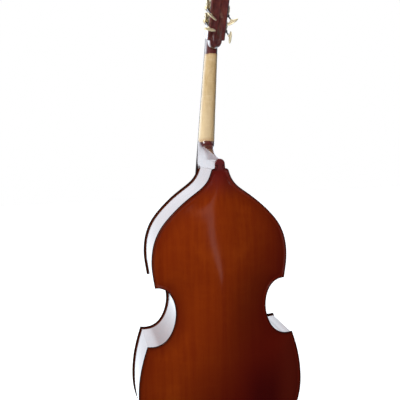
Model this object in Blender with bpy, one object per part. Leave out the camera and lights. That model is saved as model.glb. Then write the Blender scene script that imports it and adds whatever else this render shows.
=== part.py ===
"""Three-quarter double bass in playing trim, modelled piece by piece.

Metres, +Z up. The strings face -Y, the bass side is at -X, and the origin is the foot of the
endpin on the floor. Hidden pieces (blocks, linings, bass bar, sound post) are included.
"""

import math

import bmesh
import bpy
import numpy as np
from mathutils import Vector
from mathutils.geometry import delaunay_2d_cdt

GAP = 0.0003                    # between pieces that touch

# Body
BODY_BOTTOM = 0.230             # height of the body's lowest edge above the floor
BODY_TOP = 1.117                # flat of the outline beside the heel, above the body's bottom
RIM_FRONT = -0.102              # outer faces of the two plates at their edges
RIM_BACK = 0.103
RIM = 0.005                     # plate thickness at the edge
CENTRE = 0.007                  # plate thickness under the arch
ARCH = 0.034
FLAT_EDGE = 0.014               # flat border that the ribs and linings are glued to
OVERHANG = 0.004                # plate edge past the ribs
RIB = 0.0022
LINING = 0.007
LINING_DEPTH = 0.018
BUTTON_RADIUS = 0.0185
BUTTON_CENTRE = 1.133           # above the body's bottom
SOUND_POST = (0.050, 0.788)     # x and height
BASS_BAR_X = -0.050

# Neck and fingerboard
SLOPE = 0.29                    # the fingerboard leans back this much per metre of height
NUT_HEIGHT = 1.805
NUT_FRONT = 0.0013              # Y of the board's front edge line at the nut
BOARD_LENGTH = 0.85
BOARD_EDGE = 0.008              # board thickness at its long edges
BOARD_CROWN = (0.004, 0.012)    # extra height in the middle, at the nut and at the far end
BOARD_HALF = (0.0215, 0.044)
NUT_LENGTH = 0.009
NUT_LIFT = 0.0015               # nut over the board's playing surface
NUT_PROFILE = ((0.0, NUT_LIFT), (-0.0045, NUT_LIFT), (-NUT_LENGTH, -0.0048))
NUT_BEND = -0.0042              # where the strings bend on the nut
ROOT_BOTTOM = 1.312             # end face of the neck inside its mortise
ROOT_HALF = (0.0308, 0.0185)    # half width of the neck root at the front and at the button
HEEL_HALF = 0.0315              # half width of the heel under the fingerboard
ROOT_FRONT = -0.13

# Pegbox
PEGBOX_LEAN = math.radians(31)
CHEEK = 0.0285                  # half width over the cheeks
CAVITY = 0.0190                 # half width of the slot between them
CHIN = 0.0215                   # half width of the rounded chin behind the nut
SCROLL_ALONG = 0.237
SCROLL_DEPTH = 0.006

# Tuning machines, in pegbox coordinates (along, depth)
GEAR_TEETH = 15
GEAR_RADIUS = 0.0125
WORM_RADIUS = 0.0048
ADDENDUM = 0.0012
DEDENDUM = 0.0015
WORM_X = 0.0375
GEAR_DEPTH = 0.030
GEAR_HALF = 0.0035
PLATE = (0.0288, 0.0306)        # inner and outer face of the cheek plate
ROLLER_RADIUS = 0.005
TUNERS = {                      # side, place of the worm along the pegbox, key angle in degrees
    "E": (-1, 0.040, 90),
    "G": (1, 0.066, 8),
    "A": (-1, 0.094, 145),
    "D": (1, 0.112, 36),
}
KEY_REACH = {"E": 0.0605, "G": 0.0605, "A": 0.0605, "D": 0.0660}    # from the worm to its key

# Strings: radius, x at the nut, x at the bridge, x of the winding on the roller
STRINGS = {
    "E": (0.00135, -0.0156, -0.0435, -0.0098),
    "A": (0.00105, -0.0052, -0.0145, -0.0045),
    "D": (0.00080, 0.0052, 0.0145, 0.0030),
    "G": (0.00060, 0.0156, 0.0435, 0.0125),
}
STRING_TURNS = 3                # turns of string on its roller
REST_GAP = 0.0009               # clearance under a string's straight chords at the nut
BRIDGE_HEIGHT = 0.808           # height of the bridge's plane above the floor

# Tailpiece and endpin
TAIL_START = 0.115              # from the bridge to the tailpiece along the strings
TAIL_LENGTH = 0.330
TAIL_THICK = 0.014
TAIL_CROWN = 0.0085             # fall of the tailpiece's front from its middle to its edges
HOLE_DOWN = 0.024               # string holes from the tailpiece's upper end
HOLE_SPREAD = 0.76              # their spacing over the spacing at the bridge
WIRE_DEPTH = 0.009              # the wire's level under the tailpiece's front
SADDLE_FRONT = -0.117
SADDLE_TOP = 0.246
WIRE_RADIUS = 0.00175
WIRE_X = 0.0156
WIRE_HEIGHT = 0.2265            # level of the wire round the endpin plug
ROD_RADIUS = 0.005
SCREW_HEIGHT = 0.194

COLOURS = {                     # colour, roughness, metallic
    "varnish": ((0.33, 0.075, 0.016), 0.15, 0.0),
    "spruce": ((0.52, 0.20, 0.05), 0.2, 0.0),
    "neck": ((0.68, 0.48, 0.25), 0.35, 0.0),
    "bare": ((0.74, 0.58, 0.36), 0.7, 0.0),
    "ebony": ((0.025, 0.02, 0.018), 0.35, 0.0),
    "maple": ((0.70, 0.48, 0.26), 0.5, 0.0),
    "brass": ((0.78, 0.58, 0.25), 0.25, 1.0),
    "steel": ((0.60, 0.60, 0.62), 0.25, 1.0),
    "string": ((0.52, 0.50, 0.48), 0.3, 1.0),
    "rubber": ((0.02, 0.02, 0.02), 0.8, 0.0),
}

PEG_A = Vector((0, math.sin(PEGBOX_LEAN), math.cos(PEGBOX_LEAN)))    # up along the pegbox
PEG_B = Vector((0, math.cos(PEGBOX_LEAN), -math.sin(PEGBOX_LEAN)))   # from its front to its back
NECK_UP = Vector((0, SLOPE, 1)).normalized()
NECK_BACK = Vector((0, 1, -SLOPE)).normalized()
NUT_EDGE = Vector((0, NUT_FRONT, NUT_HEIGHT))
SIDE = Vector((1, 0, 0))


# ---------------------------------------------------------------- mesh helpers

def add_object(name, bm, colour, origin=(0, 0, 0), smooth=None):
    """Turn a bmesh in world coordinates into an object whose origin is the given point."""
    origin = Vector(origin)
    bmesh.ops.recalc_face_normals(bm, faces=bm.faces)
    bmesh.ops.translate(bm, verts=bm.verts, vec=-origin)
    mesh = bpy.data.meshes.new(name)
    bm.to_mesh(mesh)
    bm.free()
    if smooth is not None:
        mesh.shade_smooth()
        mesh.set_sharp_from_angle(angle=math.radians(smooth))
    obj = bpy.data.objects.new(name, mesh)
    obj.location = origin
    bpy.context.collection.objects.link(obj)
    if colour is None:
        obj.hide_render = True
        obj.display_type = "WIRE"
    else:
        mesh.materials.append(make_material(name, colour))
    return obj


def make_material(name, colour):
    """Principled material of one object."""
    rgb, roughness, metallic = COLOURS[colour]
    material = bpy.data.materials.new(name + "_" + colour)
    material.use_nodes = True
    shader = material.node_tree.nodes["Principled BSDF"]
    shader.inputs["Base Color"].default_value = (*rgb, 1)
    shader.inputs["Roughness"].default_value = roughness
    shader.inputs["Metallic"].default_value = metallic
    return material


def combine(obj, tool, operation):
    """Boolean of one object with a hidden tool object."""
    modifier = obj.modifiers.new(operation.lower() + "_" + tool.name, "BOOLEAN")
    modifier.operation = operation
    modifier.solver = "EXACT"
    modifier.object = tool


def loft_mesh(rings, ring_loop=False):
    """Skin rings of points. The ends get caps, or the last ring joins the first."""
    bm = bmesh.new()
    rows = [[bm.verts.new(point) for point in ring] for ring in rings]
    size = len(rings[0])
    pairs = list(zip(rows, rows[1:]))
    if ring_loop:
        pairs.append((rows[-1], rows[0]))
    for low, high in pairs:
        for i in range(size):
            j = (i + 1) % size
            bm.faces.new((low[i], low[j], high[j], high[i]))
    if not ring_loop:
        bm.faces.new(rows[0][::-1])
        bm.faces.new(rows[-1])
    return bm


def circle(centre, radius, u, v, sides, turn=0.0):
    """Points round a circle in the plane of u and v."""
    angles = [turn + 2 * math.pi * i / sides for i in range(sides)]
    return [centre + radius * (math.cos(a) * u + math.sin(a) * v) for a in angles]


def turned(name, profile, centre, axis, u, sides, colour, loop=False, origin=None, smooth=35):
    """Turned piece. The profile holds (place along the axis, radius)."""
    centre = Vector(centre)
    v = axis.cross(u)
    rings = [circle(centre + axis * along, radius, u, v, sides) for along, radius in profile]
    return add_object(name, loft_mesh(rings, loop), colour, origin or centre, smooth)


def prism(name, outline, direction, colour, origin=(0, 0, 0), smooth=None):
    """Outline swept along a straight direction."""
    rings = [outline, [point + direction for point in outline]]
    return add_object(name, loft_mesh(rings), colour, origin, smooth)


def strip(name, outer, inner, y_front, y_back, colour):
    """Bent strip between two lines of (x, z) points, from one Y to another."""
    rings = []
    for (xo, zo), (xi, zi) in zip(outer, inner):
        rings.append([Vector((xo, y_front, zo)), Vector((xo, y_back, zo)),
                      Vector((xi, y_back, zi)), Vector((xi, y_front, zi))])
    return add_object(name, loft_mesh(rings), colour, smooth=40)


def inside(points, loop):
    """Which of the points lie inside a closed loop."""
    x, y = points[:, 0], points[:, 1]
    result = np.zeros(len(points), bool)
    for (x0, y0), (x1, y1) in zip(loop, np.roll(loop, -1, axis=0)):
        crosses = (y0 > y) != (y1 > y)
        if y0 != y1:
            result ^= crosses & (x < (x1 - x0) * (y - y0) / (y1 - y0) + x0)
    return result


def sheet(name, loops, extra, lifts, place, colour, origin=(0, 0, 0), smooth=None):
    """Closed solid between two surfaces over a flat region: an outline, holes and inner points."""
    points = [Vector(p) for loop in loops for p in loop] + [Vector(p) for p in extra]
    edges = []
    for loop in loops:
        start = edges[-1][0] + 1 if edges else 0
        edges += [(start + i, start + (i + 1) % len(loop)) for i in range(len(loop))]
    flat, _, triangles, *_ = delaunay_2d_cdt(points, edges, [], 0, 1e-6)
    flat = np.array([tuple(p) for p in flat])
    triangles = np.array(triangles)
    middles = flat[triangles].mean(axis=1)
    keep = inside(middles, np.array(loops[0]))
    for hole in loops[1:]:
        keep &= ~inside(middles, np.array(hole))
    triangles = triangles[keep].tolist()
    bm = bmesh.new()
    used = sorted({i for triangle in triangles for i in triangle})
    levels = [lift(flat) for lift in lifts]
    sides = [{i: bm.verts.new(place(*flat[i], level[i])) for i in used} for level in levels]
    directed = {}
    for a, b, c in triangles:
        bm.faces.new([sides[0][i] for i in (a, b, c)])
        bm.faces.new([sides[1][i] for i in (c, b, a)])
        directed.update({(a, b): 1, (b, c): 1, (c, a): 1})
    for a, b in directed:
        if (b, a) not in directed:
            bm.faces.new((sides[0][b], sides[0][a], sides[1][a], sides[1][b]))
    return add_object(name, bm, colour, origin, smooth)


def tube(name, points, radius, colour, resolution=1):
    """Round cord along a list of points."""
    curve = bpy.data.curves.new(name, "CURVE")
    curve.dimensions = "3D"
    curve.bevel_depth = radius
    curve.bevel_resolution = resolution
    curve.use_fill_caps = True
    curve.render_resolution_u = 0
    line = curve.splines.new("POLY")
    line.points.add(len(points) - 1)
    for knot, point in zip(line.points, points):
        knot.co = (*point, 1)
    curve.materials.append(make_material(name, colour))
    obj = bpy.data.objects.new(name, curve)
    bpy.context.collection.objects.link(obj)
    return obj


# ---------------------------------------------------------------- body outline

def bezier(p0, p1, p2, p3, steps):
    """Points on a cubic curve, without its last one."""
    t = np.arange(steps)[:, None] / steps
    p0, p1, p2, p3 = (np.array(p) for p in (p0, p1, p2, p3))
    return (1 - t) ** 3 * p0 + 3 * (1 - t) ** 2 * t * p1 + 3 * (1 - t) * t * t * p2 + t ** 3 * p3


def half_outline():
    """Right half of the body's outline, from the neck down, and the indices of its two corners."""
    upper_corner, lower_corner = (0.2455, 0.697), (0.279, 0.4825)
    pieces = [
        [(0.0, BODY_TOP)],
        bezier((0.020, BODY_TOP), (0.028, BODY_TOP), (0.0317, 1.1125), (0.0335, 1.106), 2),
        bezier((0.0335, 1.106), (0.0534, 1.035), (0.0995, 1.045), (0.190, 0.949), 7),
        bezier((0.190, 0.949), (0.231, 0.906), (0.255, 0.860), (0.255, 0.780), 4),
        bezier((0.255, 0.780), (0.255, 0.760), (0.2495, 0.727), upper_corner, 3),
        bezier(upper_corner, (0.195, 0.699), (0.172, 0.649), (0.172, 0.598), 5),
        bezier((0.172, 0.598), (0.172, 0.564), (0.1915, 0.464), lower_corner, 6),
        bezier(lower_corner, (0.2996, 0.423), (0.317, 0.364), (0.317, 0.281), 6),
        bezier((0.317, 0.281), (0.317, 0.120), (0.190, 0.0), (0.0, 0.0), 9),
        [(0.0, 0.0)],
    ]
    counts = np.cumsum([len(piece) for piece in pieces])
    half = np.vstack(pieces) + np.array((0.0, BODY_BOTTOM))
    return half, int(counts[4]), int(counts[6])


HALF, UPPER_CORNER, LOWER_CORNER = half_outline()
OUTLINE = np.vstack([HALF, (HALF * (-1, 1))[-2:0:-1]])


def inset(distance):
    """The body's outline moved inwards by a distance, with mitred corners."""
    along = np.roll(OUTLINE, -1, axis=0) - OUTLINE
    along /= np.linalg.norm(along, axis=1)[:, None]
    normal = np.stack([along[:, 1], -along[:, 0]], axis=1)
    before = np.roll(normal, 1, axis=0)
    return OUTLINE + distance * (before + normal) / (1 + (before * normal).sum(axis=1))[:, None]


def edge_distance(points):
    """Smooth distance to the outline: an inverse-cube average over all its edges."""
    total = np.zeros(len(points))
    for start, end in zip(OUTLINE, np.roll(OUTLINE, -1, axis=0)):
        along = (end - start) / np.linalg.norm(end - start)
        reach = (points - start) @ along
        rest = reach - np.linalg.norm(end - start)
        off2 = ((points - start) ** 2).sum(axis=1) - reach ** 2 + 1e-8
        total += (reach / np.sqrt(off2 + reach ** 2) - rest / np.sqrt(off2 + rest ** 2)) / off2
    return np.sqrt(2 / np.abs(total))


def arch(points):
    """Height of the arching over the flat rim, 0 to 1."""
    points = np.atleast_2d(points)
    middle = points * (0, 1)
    level = (points[:, 1] - BODY_BOTTOM - FLAT_EDGE) / (BODY_TOP - 2 * FLAT_EDGE)
    level = np.clip(level, 0, 1)
    long_arch = 1 - np.abs(2 * level - 1) ** 2.6
    near = np.maximum(edge_distance(points) - FLAT_EDGE, 0)
    far = np.maximum(edge_distance(middle) - FLAT_EDGE, 0.001)
    return long_arch * np.clip(near / far, 0, 1) ** 1.25


def front_face(points):
    return RIM_FRONT - ARCH * arch(points)


def front_inside(points):
    return RIM_FRONT + RIM - (ARCH + RIM - CENTRE) * arch(points)


def back_face(points):
    return RIM_BACK + ARCH * arch(points)


def back_inside(points):
    return RIM_BACK - RIM + (ARCH + RIM - CENTRE) * arch(points)


def to_world(x, z, y):
    return Vector((x, y, z))


def grid_points():
    """Staggered points over the arching, and a ring along the inner line of the flat border."""
    step = 0.044
    rows = np.arange(BODY_BOTTOM + 0.03, BODY_BOTTOM + BODY_TOP, step * 0.87)
    grid = [(step * (i + 0.5 * (r % 2)), z) for r, z in enumerate(rows) for i in range(-9, 10)]
    grid = np.array(grid)
    ring = inset(FLAT_EDGE)
    grid = grid[inside(grid, inset(0.028))]
    spread = np.linalg.norm(ring[:, None] - OUTLINE[None], axis=2).min(axis=1)
    return np.vstack([grid, ring[inside(ring, OUTLINE) & (spread > 0.9 * FLAT_EDGE)]])


# ---------------------------------------------------------------- body

def mortise_half(y, gap=0.0):
    """Half width of the neck root at a depth in the body."""
    share = (y - ROOT_FRONT) / (RIM_BACK - RIM - ROOT_FRONT)
    return ROOT_HALF[0] + (ROOT_HALF[1] - ROOT_HALF[0]) * share + gap


def make_mortise():
    """Hidden cutter for the dovetail that the neck root sits in."""
    ends = (ROOT_FRONT - 0.03, RIM_BACK - RIM + 0.0002)
    outline = [Vector((side * mortise_half(y, GAP), y, ROOT_BOTTOM - GAP))
               for side, y in ((-1, ends[0]), (1, ends[0]), (1, ends[1]), (-1, ends[1]))]
    return prism("mortise_cutter", outline, Vector((0, 0, 0.1)), None)


def f_hole(side):
    """Outline of a sound hole: an S-shaped slot with a round eye at each end."""
    half_length, lean, sway, centre_x = 0.088, -0.020, 0.012, 0.098
    slot, eye, eye_place, eye_start = 0.0055, 0.0112, 0.84, 0.76
    left, right = [], []
    for t in np.linspace(-1, 1, 15):
        spine = np.array((centre_x + lean * t + sway * math.sin(math.pi * t),
                          BRIDGE_HEIGHT + 0.002 + half_length * t))
        if abs(t) == 1:
            left.append(spine)
            continue
        slope = np.array((lean + sway * math.pi * math.cos(math.pi * t), half_length))
        across = np.array((slope[1], -slope[0])) / np.linalg.norm(slope)
        off = 0.8 * half_length * (abs(t) - eye_place)
        width = slot if abs(t) < eye_start else math.sqrt(eye ** 2 - off ** 2)
        left.append(spine - across * width)
        right.append(spine + across * width)
    return np.array(left + right[::-1]) * (side, 1)


def make_plates(mortise):
    """The two arched plates."""
    extra = grid_points()
    holes = [f_hole(side) for side in (-1, 1)]
    clear = np.ones(len(extra), bool)
    for hole in holes:
        gaps = np.linalg.norm(extra[:, None] - hole[None], axis=2).min(axis=1)
        clear &= ~inside(extra, hole) & (gaps > 0.008)
    top = sheet("top_plate", [OUTLINE, *holes], extra[clear], (front_face, front_inside),
                to_world, "spruce", smooth=50)
    combine(top, mortise, "DIFFERENCE")
    centre = BODY_BOTTOM + BUTTON_CENTRE
    angles = np.radians(np.arange(0, 181, 15))
    button = np.stack([BUTTON_RADIUS * np.cos(angles), centre + BUTTON_RADIUS * np.sin(angles)], axis=1)
    outline = np.vstack([button[::-1], OUTLINE[1:]])
    sheet("back_plate", [outline], extra, (back_face, back_inside), to_world, "varnish", smooth=50)


RUNS = {"upper": (0, UPPER_CORNER), "centre": (UPPER_CORNER, LOWER_CORNER),
        "lower": (LOWER_CORNER, len(HALF) - 1)}
BLOCK_SPAN = 2                  # corner blocks reach this many outline points from the corner
NECK_SPAN = 6
END_SPAN = 3


def trimmed(points, first, last, gap):
    """Part of a loop with both its ends pulled back by a gap."""
    part = points[first:last + 1].copy()
    for end, beside in ((0, 1), (-1, -2)):
        step = part[beside] - part[end]
        part[end] += gap * step / np.linalg.norm(step)
    return part


def make_ribs(mortise, plug_hole):
    """Six ribs and the linings along their edges."""
    outer, middle = inset(OVERHANG), inset(OVERHANG + RIB)
    lining_out, lining_in = inset(OVERHANG + RIB + GAP), inset(OVERHANG + RIB + GAP + LINING)
    margins = {"upper": (NECK_SPAN, BLOCK_SPAN), "centre": (BLOCK_SPAN, BLOCK_SPAN),
               "lower": (BLOCK_SPAN, END_SPAN)}
    depths = {"front": (RIM_FRONT + RIM + GAP, RIM_FRONT + RIM + LINING_DEPTH),
              "back": (RIM_BACK - RIM - LINING_DEPTH, RIM_BACK - RIM - GAP)}
    for side, sign in (("right", 1), ("left", -1)):
        for bout, (first, last) in RUNS.items():
            walls = [trimmed(loop, first, last, GAP / 2 + 0.0001) * (sign, 1) for loop in (outer, middle)]
            rib = strip(bout + "_rib_" + side, *walls, depths["front"][0], depths["back"][1], "varnish")
            if bout == "upper":
                combine(rib, mortise, "DIFFERENCE")
            if bout == "lower":
                combine(rib, plug_hole, "DIFFERENCE")
            start, stop = margins[bout]
            bent = [trimmed(loop, first + start, last - stop, GAP) * (sign, 1)
                    for loop in (lining_out, lining_in)]
            for face, (y0, y1) in depths.items():
                strip("_".join((bout, "lining", face, side)), *bent, y0, y1, "bare")


def make_blocks(mortise, plug_hole):
    """Neck block, end block and the four corner blocks."""
    seat = inset(OVERHANG + RIB + GAP)
    deep = inset(OVERHANG + RIB + LINING + 0.001)
    y0 = RIM_FRONT + RIM + GAP
    sweep = Vector((0, RIM_BACK - RIM - GAP - y0, 0))

    def block(name, points):
        return prism(name, [Vector((x, y0, z)) for x, z in points], sweep, "bare", smooth=30)

    for side, sign in (("right", 1), ("left", -1)):
        for level, corner, inner in (("upper", UPPER_CORNER, (-0.045, 0.045)),
                                     ("lower", LOWER_CORNER, (-0.050, -0.035))):
            first, last = corner - BLOCK_SPAN, corner + BLOCK_SPAN
            points = [*seat[first:last + 1], deep[last], OUTLINE[corner] + inner, deep[first]]
            block(level + "_corner_block_" + side, np.array(points) * (sign, 1))
    shoulder = np.array([*seat[1:NECK_SPAN + 1], deep[NECK_SPAN], deep[NECK_SPAN] - (0.01, 0.045)])
    neck_block = block("neck_block", np.vstack([(shoulder * (-1, 1))[::-1], shoulder]))
    combine(neck_block, mortise, "DIFFERENCE")
    first = len(HALF) - 1 - END_SPAN
    bottom = np.array([deep[first] + (-0.01, 0.035), deep[first], *seat[first:len(HALF) - 1]])
    end_block = block("end_block", np.vstack([bottom, (bottom * (-1, 1))[::-1]]))
    combine(end_block, plug_hole, "DIFFERENCE")


def make_bar_and_post():
    """Bass bar under the bass foot of the bridge, and the sound post."""
    clearance = 0.0009
    rings = []
    for z in np.linspace(0.40, 1.18, 11):
        tall = 0.008 + 0.022 * math.sin(math.pi * (z - 0.38) / 0.82)
        ring = []
        for x in (BASS_BAR_X - 0.011, BASS_BAR_X + 0.011):
            ring.append(Vector((x, float(front_inside((x, z))[0]) + clearance, z)))
        ring += [ring[1] + Vector((0, tall, 0)), ring[0] + Vector((0, tall, 0))]
        rings.append(ring)
    add_object("bass_bar", loft_mesh(rings), "bare")
    x, z = SOUND_POST
    rim = circle(Vector((x, 0, z)), 0.009, SIDE, Vector((0, 0, 1)), 16)
    flat = np.array([(p.x, p.z) for p in rim])
    ends = [front_inside(flat) + clearance, back_inside(flat) - clearance]
    rings = [[Vector((p.x, y, p.z)) for p, y in zip(rim, end)] for end in ends]
    add_object("sound_post", loft_mesh(rings), "bare", smooth=40)


# ---------------------------------------------------------------- neck, board and pegbox

def board_point(down, rise=0.0):
    """Point a distance down the board's front edge line, raised towards the player's fingers."""
    return NUT_EDGE - NECK_UP * down - NECK_BACK * rise


def board_half(down):
    return BOARD_HALF[0] + (BOARD_HALF[1] - BOARD_HALF[0]) * down / BOARD_LENGTH


def board_crown(down, x):
    """Height of the playing surface over the board's edge line."""
    crown = BOARD_CROWN[0] + (BOARD_CROWN[1] - BOARD_CROWN[0]) * down / BOARD_LENGTH
    return crown * (1 - (x / board_half(down)) ** 2)


def crowned_ring(down, lift, half_steps=4):
    """Section of the board or nut: flat below, crowned on top."""
    half = board_half(down)
    base = board_point(down, -BOARD_EDGE)
    ring = [base - SIDE * half, base + SIDE * half]
    for i in range(2 * half_steps + 1):
        x = half * (1 - i / half_steps)
        ring.append(board_point(down, board_crown(down, x) + lift) + SIDE * x)
    return ring


def make_board():
    """Fingerboard and nut."""
    rings = [crowned_ring(down, 0.0) for down in (GAP, BOARD_LENGTH / 2, BOARD_LENGTH)]
    add_object("fingerboard", loft_mesh(rings), "ebony", smooth=40)
    rings = [crowned_ring(down, lift) for down, lift in NUT_PROFILE]
    add_object("nut", loft_mesh(rings), "ebony", smooth=40)


def neck_ring(front, back, half, back_half, roundness):
    """Section of the neck, from a rounded back (1) to straight tapering sides (0)."""
    rounded = ((1.0, 0.0), (1.0, 0.25), (0.94, 0.5), (0.79, 0.72), (0.56, 0.89), (0.25, 1.0))
    right = []
    for share, depth in rounded:
        straight = half + (back_half - half) * depth
        x = roundness * share * half + (1 - roundness) * straight
        right.append((x, front.lerp(back, depth)))
    return ([point + SIDE * x for x, point in right]
            + [point - SIDE * x for x, point in reversed(right)])


def neck_front(down):
    return board_point(down, -BOARD_EDGE - GAP)


def neck_shaft():
    """Rings of the neck and its heel, from the nut down into the mortise."""
    rings = []
    for down, depth in ((-0.010, 0.030), (0.06, 0.0295), (0.16, 0.030), (0.26, 0.0315), (0.365, 0.033)):
        front = neck_front(down)
        rings.append(neck_ring(front, front + NECK_BACK * depth, board_half(down), 0.0, 1))
    heel_end = RIM_BACK - RIM - GAP
    heel = ((0.395, (-0.052, 1.4225), 0.0165, 0.9), (0.420, (-0.018, 1.4110), 0.0145, 0.6),
            (0.438, (0.025, 1.3995), 0.0110, 0.35), (0.452, (0.080, 1.3860), 0.0060, 0.15),
            (0.462, (heel_end, 1.3813), 0.0040, 0.0), (0.466, (heel_end, 1.3740), 0.0149, 0.0),
            (0.469, (heel_end, 1.3630), ROOT_HALF[1], 0.0))
    for down, (y, z), narrow, roundness in heel:
        half = min(board_half(down), HEEL_HALF)
        rings.append(neck_ring(neck_front(down), Vector((0, y, z)), half, narrow, roundness))
    for z in (1.348, ROOT_BOTTOM):
        front = neck_front((neck_front(0).z - z) / NECK_UP.z)
        back = Vector((0, heel_end, z))
        rings.append(neck_ring(front, back, mortise_half(front.y), ROOT_HALF[1], 0))
    return rings[::-1]


PEG_ORIGIN = neck_front(-NUT_LENGTH - 0.0005)


def peg_point(along, depth, x=0.0):
    """World point from pegbox coordinates: up along it, from its open front to its back, sideways."""
    return PEG_ORIGIN + PEG_A * along + PEG_B * depth + SIDE * x


def make_neck():
    """One carved piece: neck, heel, pegbox and scroll."""
    neck = add_object("neck", loft_mesh(neck_shaft()), "neck", smooth=40)
    profiles = {
        "chin": (CHIN, ((0.0, 0.010), (0.030, 0.030), (0.030, 0.062), (0.012, 0.0655), (-0.004, 0.0655),
                        (-0.015, 0.0605), (-0.0225, 0.051), (-0.024, 0.040), (-0.020, 0.028))),
        "pegbox": (CHEEK, ((0.0, 0.0), (0.190, 0.0), (0.212, 0.002), (0.212, 0.0440), (0.19, 0.0510),
                           (0.150, 0.0570), (0.100, 0.0610), (0.050, 0.0645), (0.014, 0.066))),
    }
    for name, (half, profile) in profiles.items():
        outline = [peg_point(along, depth, -half) for along, depth in profile]
        combine(neck, prism(name + "_body", outline, SIDE * 2 * half, None), "UNION")
    centre = peg_point(SCROLL_ALONG, SCROLL_DEPTH)
    for name, radius, half in (("outer", 0.045, 0.019), ("middle", 0.032, 0.027), ("eye", 0.015, 0.036)):
        turn = turned("scroll_" + name, ((-half, radius), (half, radius)), centre, SIDE, PEG_A, 22, None)
        combine(neck, turn, "UNION")
    slot = ((0.005, -0.02), (0.160, -0.02), (0.160, 0.030), (0.152, 0.0385), (0.018, 0.050), (0.014, 0.018))
    outline = [peg_point(along, depth, -CAVITY) for along, depth in slot]
    combine(neck, prism("pegbox_slot", outline, SIDE * 2 * CAVITY, None), "DIFFERENCE")
    for string in TUNERS:
        along = gear_along(string)
        hole = turned("roller_hole_" + string, ((-0.05, ROLLER_RADIUS + GAP), (0.05, ROLLER_RADIUS + GAP)),
                      peg_point(along, GEAR_DEPTH), SIDE, PEG_A, 14, None)
        combine(neck, hole, "DIFFERENCE")


# ---------------------------------------------------------------- tuning machines

def gear_along(string):
    return TUNERS[string][1] + GEAR_RADIUS + WORM_RADIUS


PITCH = 2 * math.pi * GEAR_RADIUS / GEAR_TEETH
THREAD = (0.24, 0.13)           # half width of the thread at its root and tip, in pitches
LEAD = PITCH / (2 * math.pi * WORM_RADIUS)


def make_worm(string):
    """Worm shaft with its thread and T-shaped key, along the depth of the pegbox."""
    side, along, angle = TUNERS[string]
    sides, reach = 10, 0.0084
    root, tip = WORM_RADIUS - DEDENDUM, WORM_RADIUS + ADDENDUM
    start = peg_point(along, GEAR_DEPTH, side * WORM_X)
    u, v = PEG_A, SIDE
    rows = []
    for turn in range(-4, 5):
        rows += [(turn - THREAD[0], root), (turn - THREAD[1], tip), (turn + THREAD[1], tip),
                 (turn + THREAD[0], root)]
    bm = bmesh.new()
    grid = {}
    for k, (place, radius) in enumerate(rows):
        for j in range(sides):
            level = (place + j / sides) * PITCH
            far = max(-reach, min(reach, level))
            size = radius if far == level else root
            direction = math.cos(2 * math.pi * j / sides) * u + math.sin(2 * math.pi * j / sides) * v
            grid[k, j] = bm.verts.new(start + PEG_B * far + direction * size)
    for k in range(len(rows) - 1):
        for j in range(sides):
            shift = 4 if j == sides - 1 else 0
            corners = [(k, j), (k + 1, j), (k + 1 + shift, (j + 1) % sides), (k + shift, (j + 1) % sides)]
            if all(corner in grid for corner in corners):
                bm.faces.new([grid[corner] for corner in corners])
    bmesh.ops.remove_doubles(bm, verts=bm.verts, dist=1e-6)
    bmesh.ops.dissolve_degenerate(bm, dist=1e-6, edges=bm.edges)
    bmesh.ops.delete(bm, geom=[v for v in bm.verts if not v.link_faces], context="VERTS")
    bmesh.ops.holes_fill(bm, edges=[e for e in bm.edges if len(e.link_faces) == 1], sides=0)
    worm = add_object("worm_shaft_" + string, bm, "brass", start, 35)
    for name, first, last, radius in (("front", -0.015, -reach + 0.0004, root - 0.0001),
                                      ("rear", reach - 0.0004, KEY_REACH[string] + 0.0055, root - 0.0001)):
        end = turned("shaft_" + name + "_" + string, ((first, radius), (last, radius)),
                     start, PEG_B, PEG_A, sides, None)
        combine(worm, end, "UNION")
    turn = math.radians(angle)
    long_way = math.cos(turn) * SIDE + math.sin(turn) * PEG_A
    thin_way = math.cos(turn) * PEG_A - math.sin(turn) * SIDE
    outline = []
    for a, b in ((-0.0065, 0.0), (0.0065, 0.0), (0.018, 0.005), (0.0205, 0.010), (0.018, 0.0165),
                 (0.009, 0.0200), (-0.009, 0.0200), (-0.018, 0.0165), (-0.0205, 0.010), (-0.018, 0.005)):
        outline.append(start + long_way * a + PEG_B * (KEY_REACH[string] + b) - thin_way * 0.0025)
    combine(worm, prism("key_" + string, outline, thin_way * 0.005, None), "UNION")


def make_gear(string):
    """Helical gear whose teeth follow the worm's thread."""
    side = TUNERS[string][0]
    centre = peg_point(gear_along(string), GEAR_DEPTH, side * WORM_X)
    root, tip = GEAR_RADIUS - DEDENDUM, GEAR_RADIUS + ADDENDUM
    shape = ((-0.30, root), (-0.15, tip), (0.15, tip), (0.30, root))
    step = 2 * math.pi / GEAR_TEETH
    rings = []
    for offset in (-GEAR_HALF, GEAR_HALF):
        ring = []
        for tooth in range(GEAR_TEETH):
            for place, radius in shape:
                # a space faces the worm, which lies on the -PEG_A side
                angle = (tooth + 0.5 + place) * step + offset * LEAD / GEAR_RADIUS
                way = -math.cos(angle) * PEG_A - math.sin(angle) * SIDE.cross(PEG_A)
                ring.append(centre + SIDE * offset + way * radius)
        rings.append(ring)
    gear = add_object("gear_" + string, loft_mesh(rings), "brass", centre)
    bore = turned("gear_bore_" + string, ((-0.01, 0.0043), (0.01, 0.0043)), centre, SIDE, PEG_A, 12, None)
    combine(gear, bore, "DIFFERENCE")


def make_roller(string):
    """String roller: a journal in each cheek, a collar under the gear and a stub through it."""
    side = TUNERS[string][0]
    centre = peg_point(gear_along(string), GEAR_DEPTH)
    inner, outer = WORM_X - GEAR_HALF - GAP, WORM_X + GEAR_HALF + 0.0012
    profile = ((-CHEEK + 0.0005, ROLLER_RADIUS), (PLATE[1] + GAP, ROLLER_RADIUS), (PLATE[1] + GAP, 0.0066),
               (inner, 0.0066), (inner, 0.0040), (outer, 0.0040))
    turned("roller_" + string, profile, centre, SIDE * side, PEG_A, 14, "steel")


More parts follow.
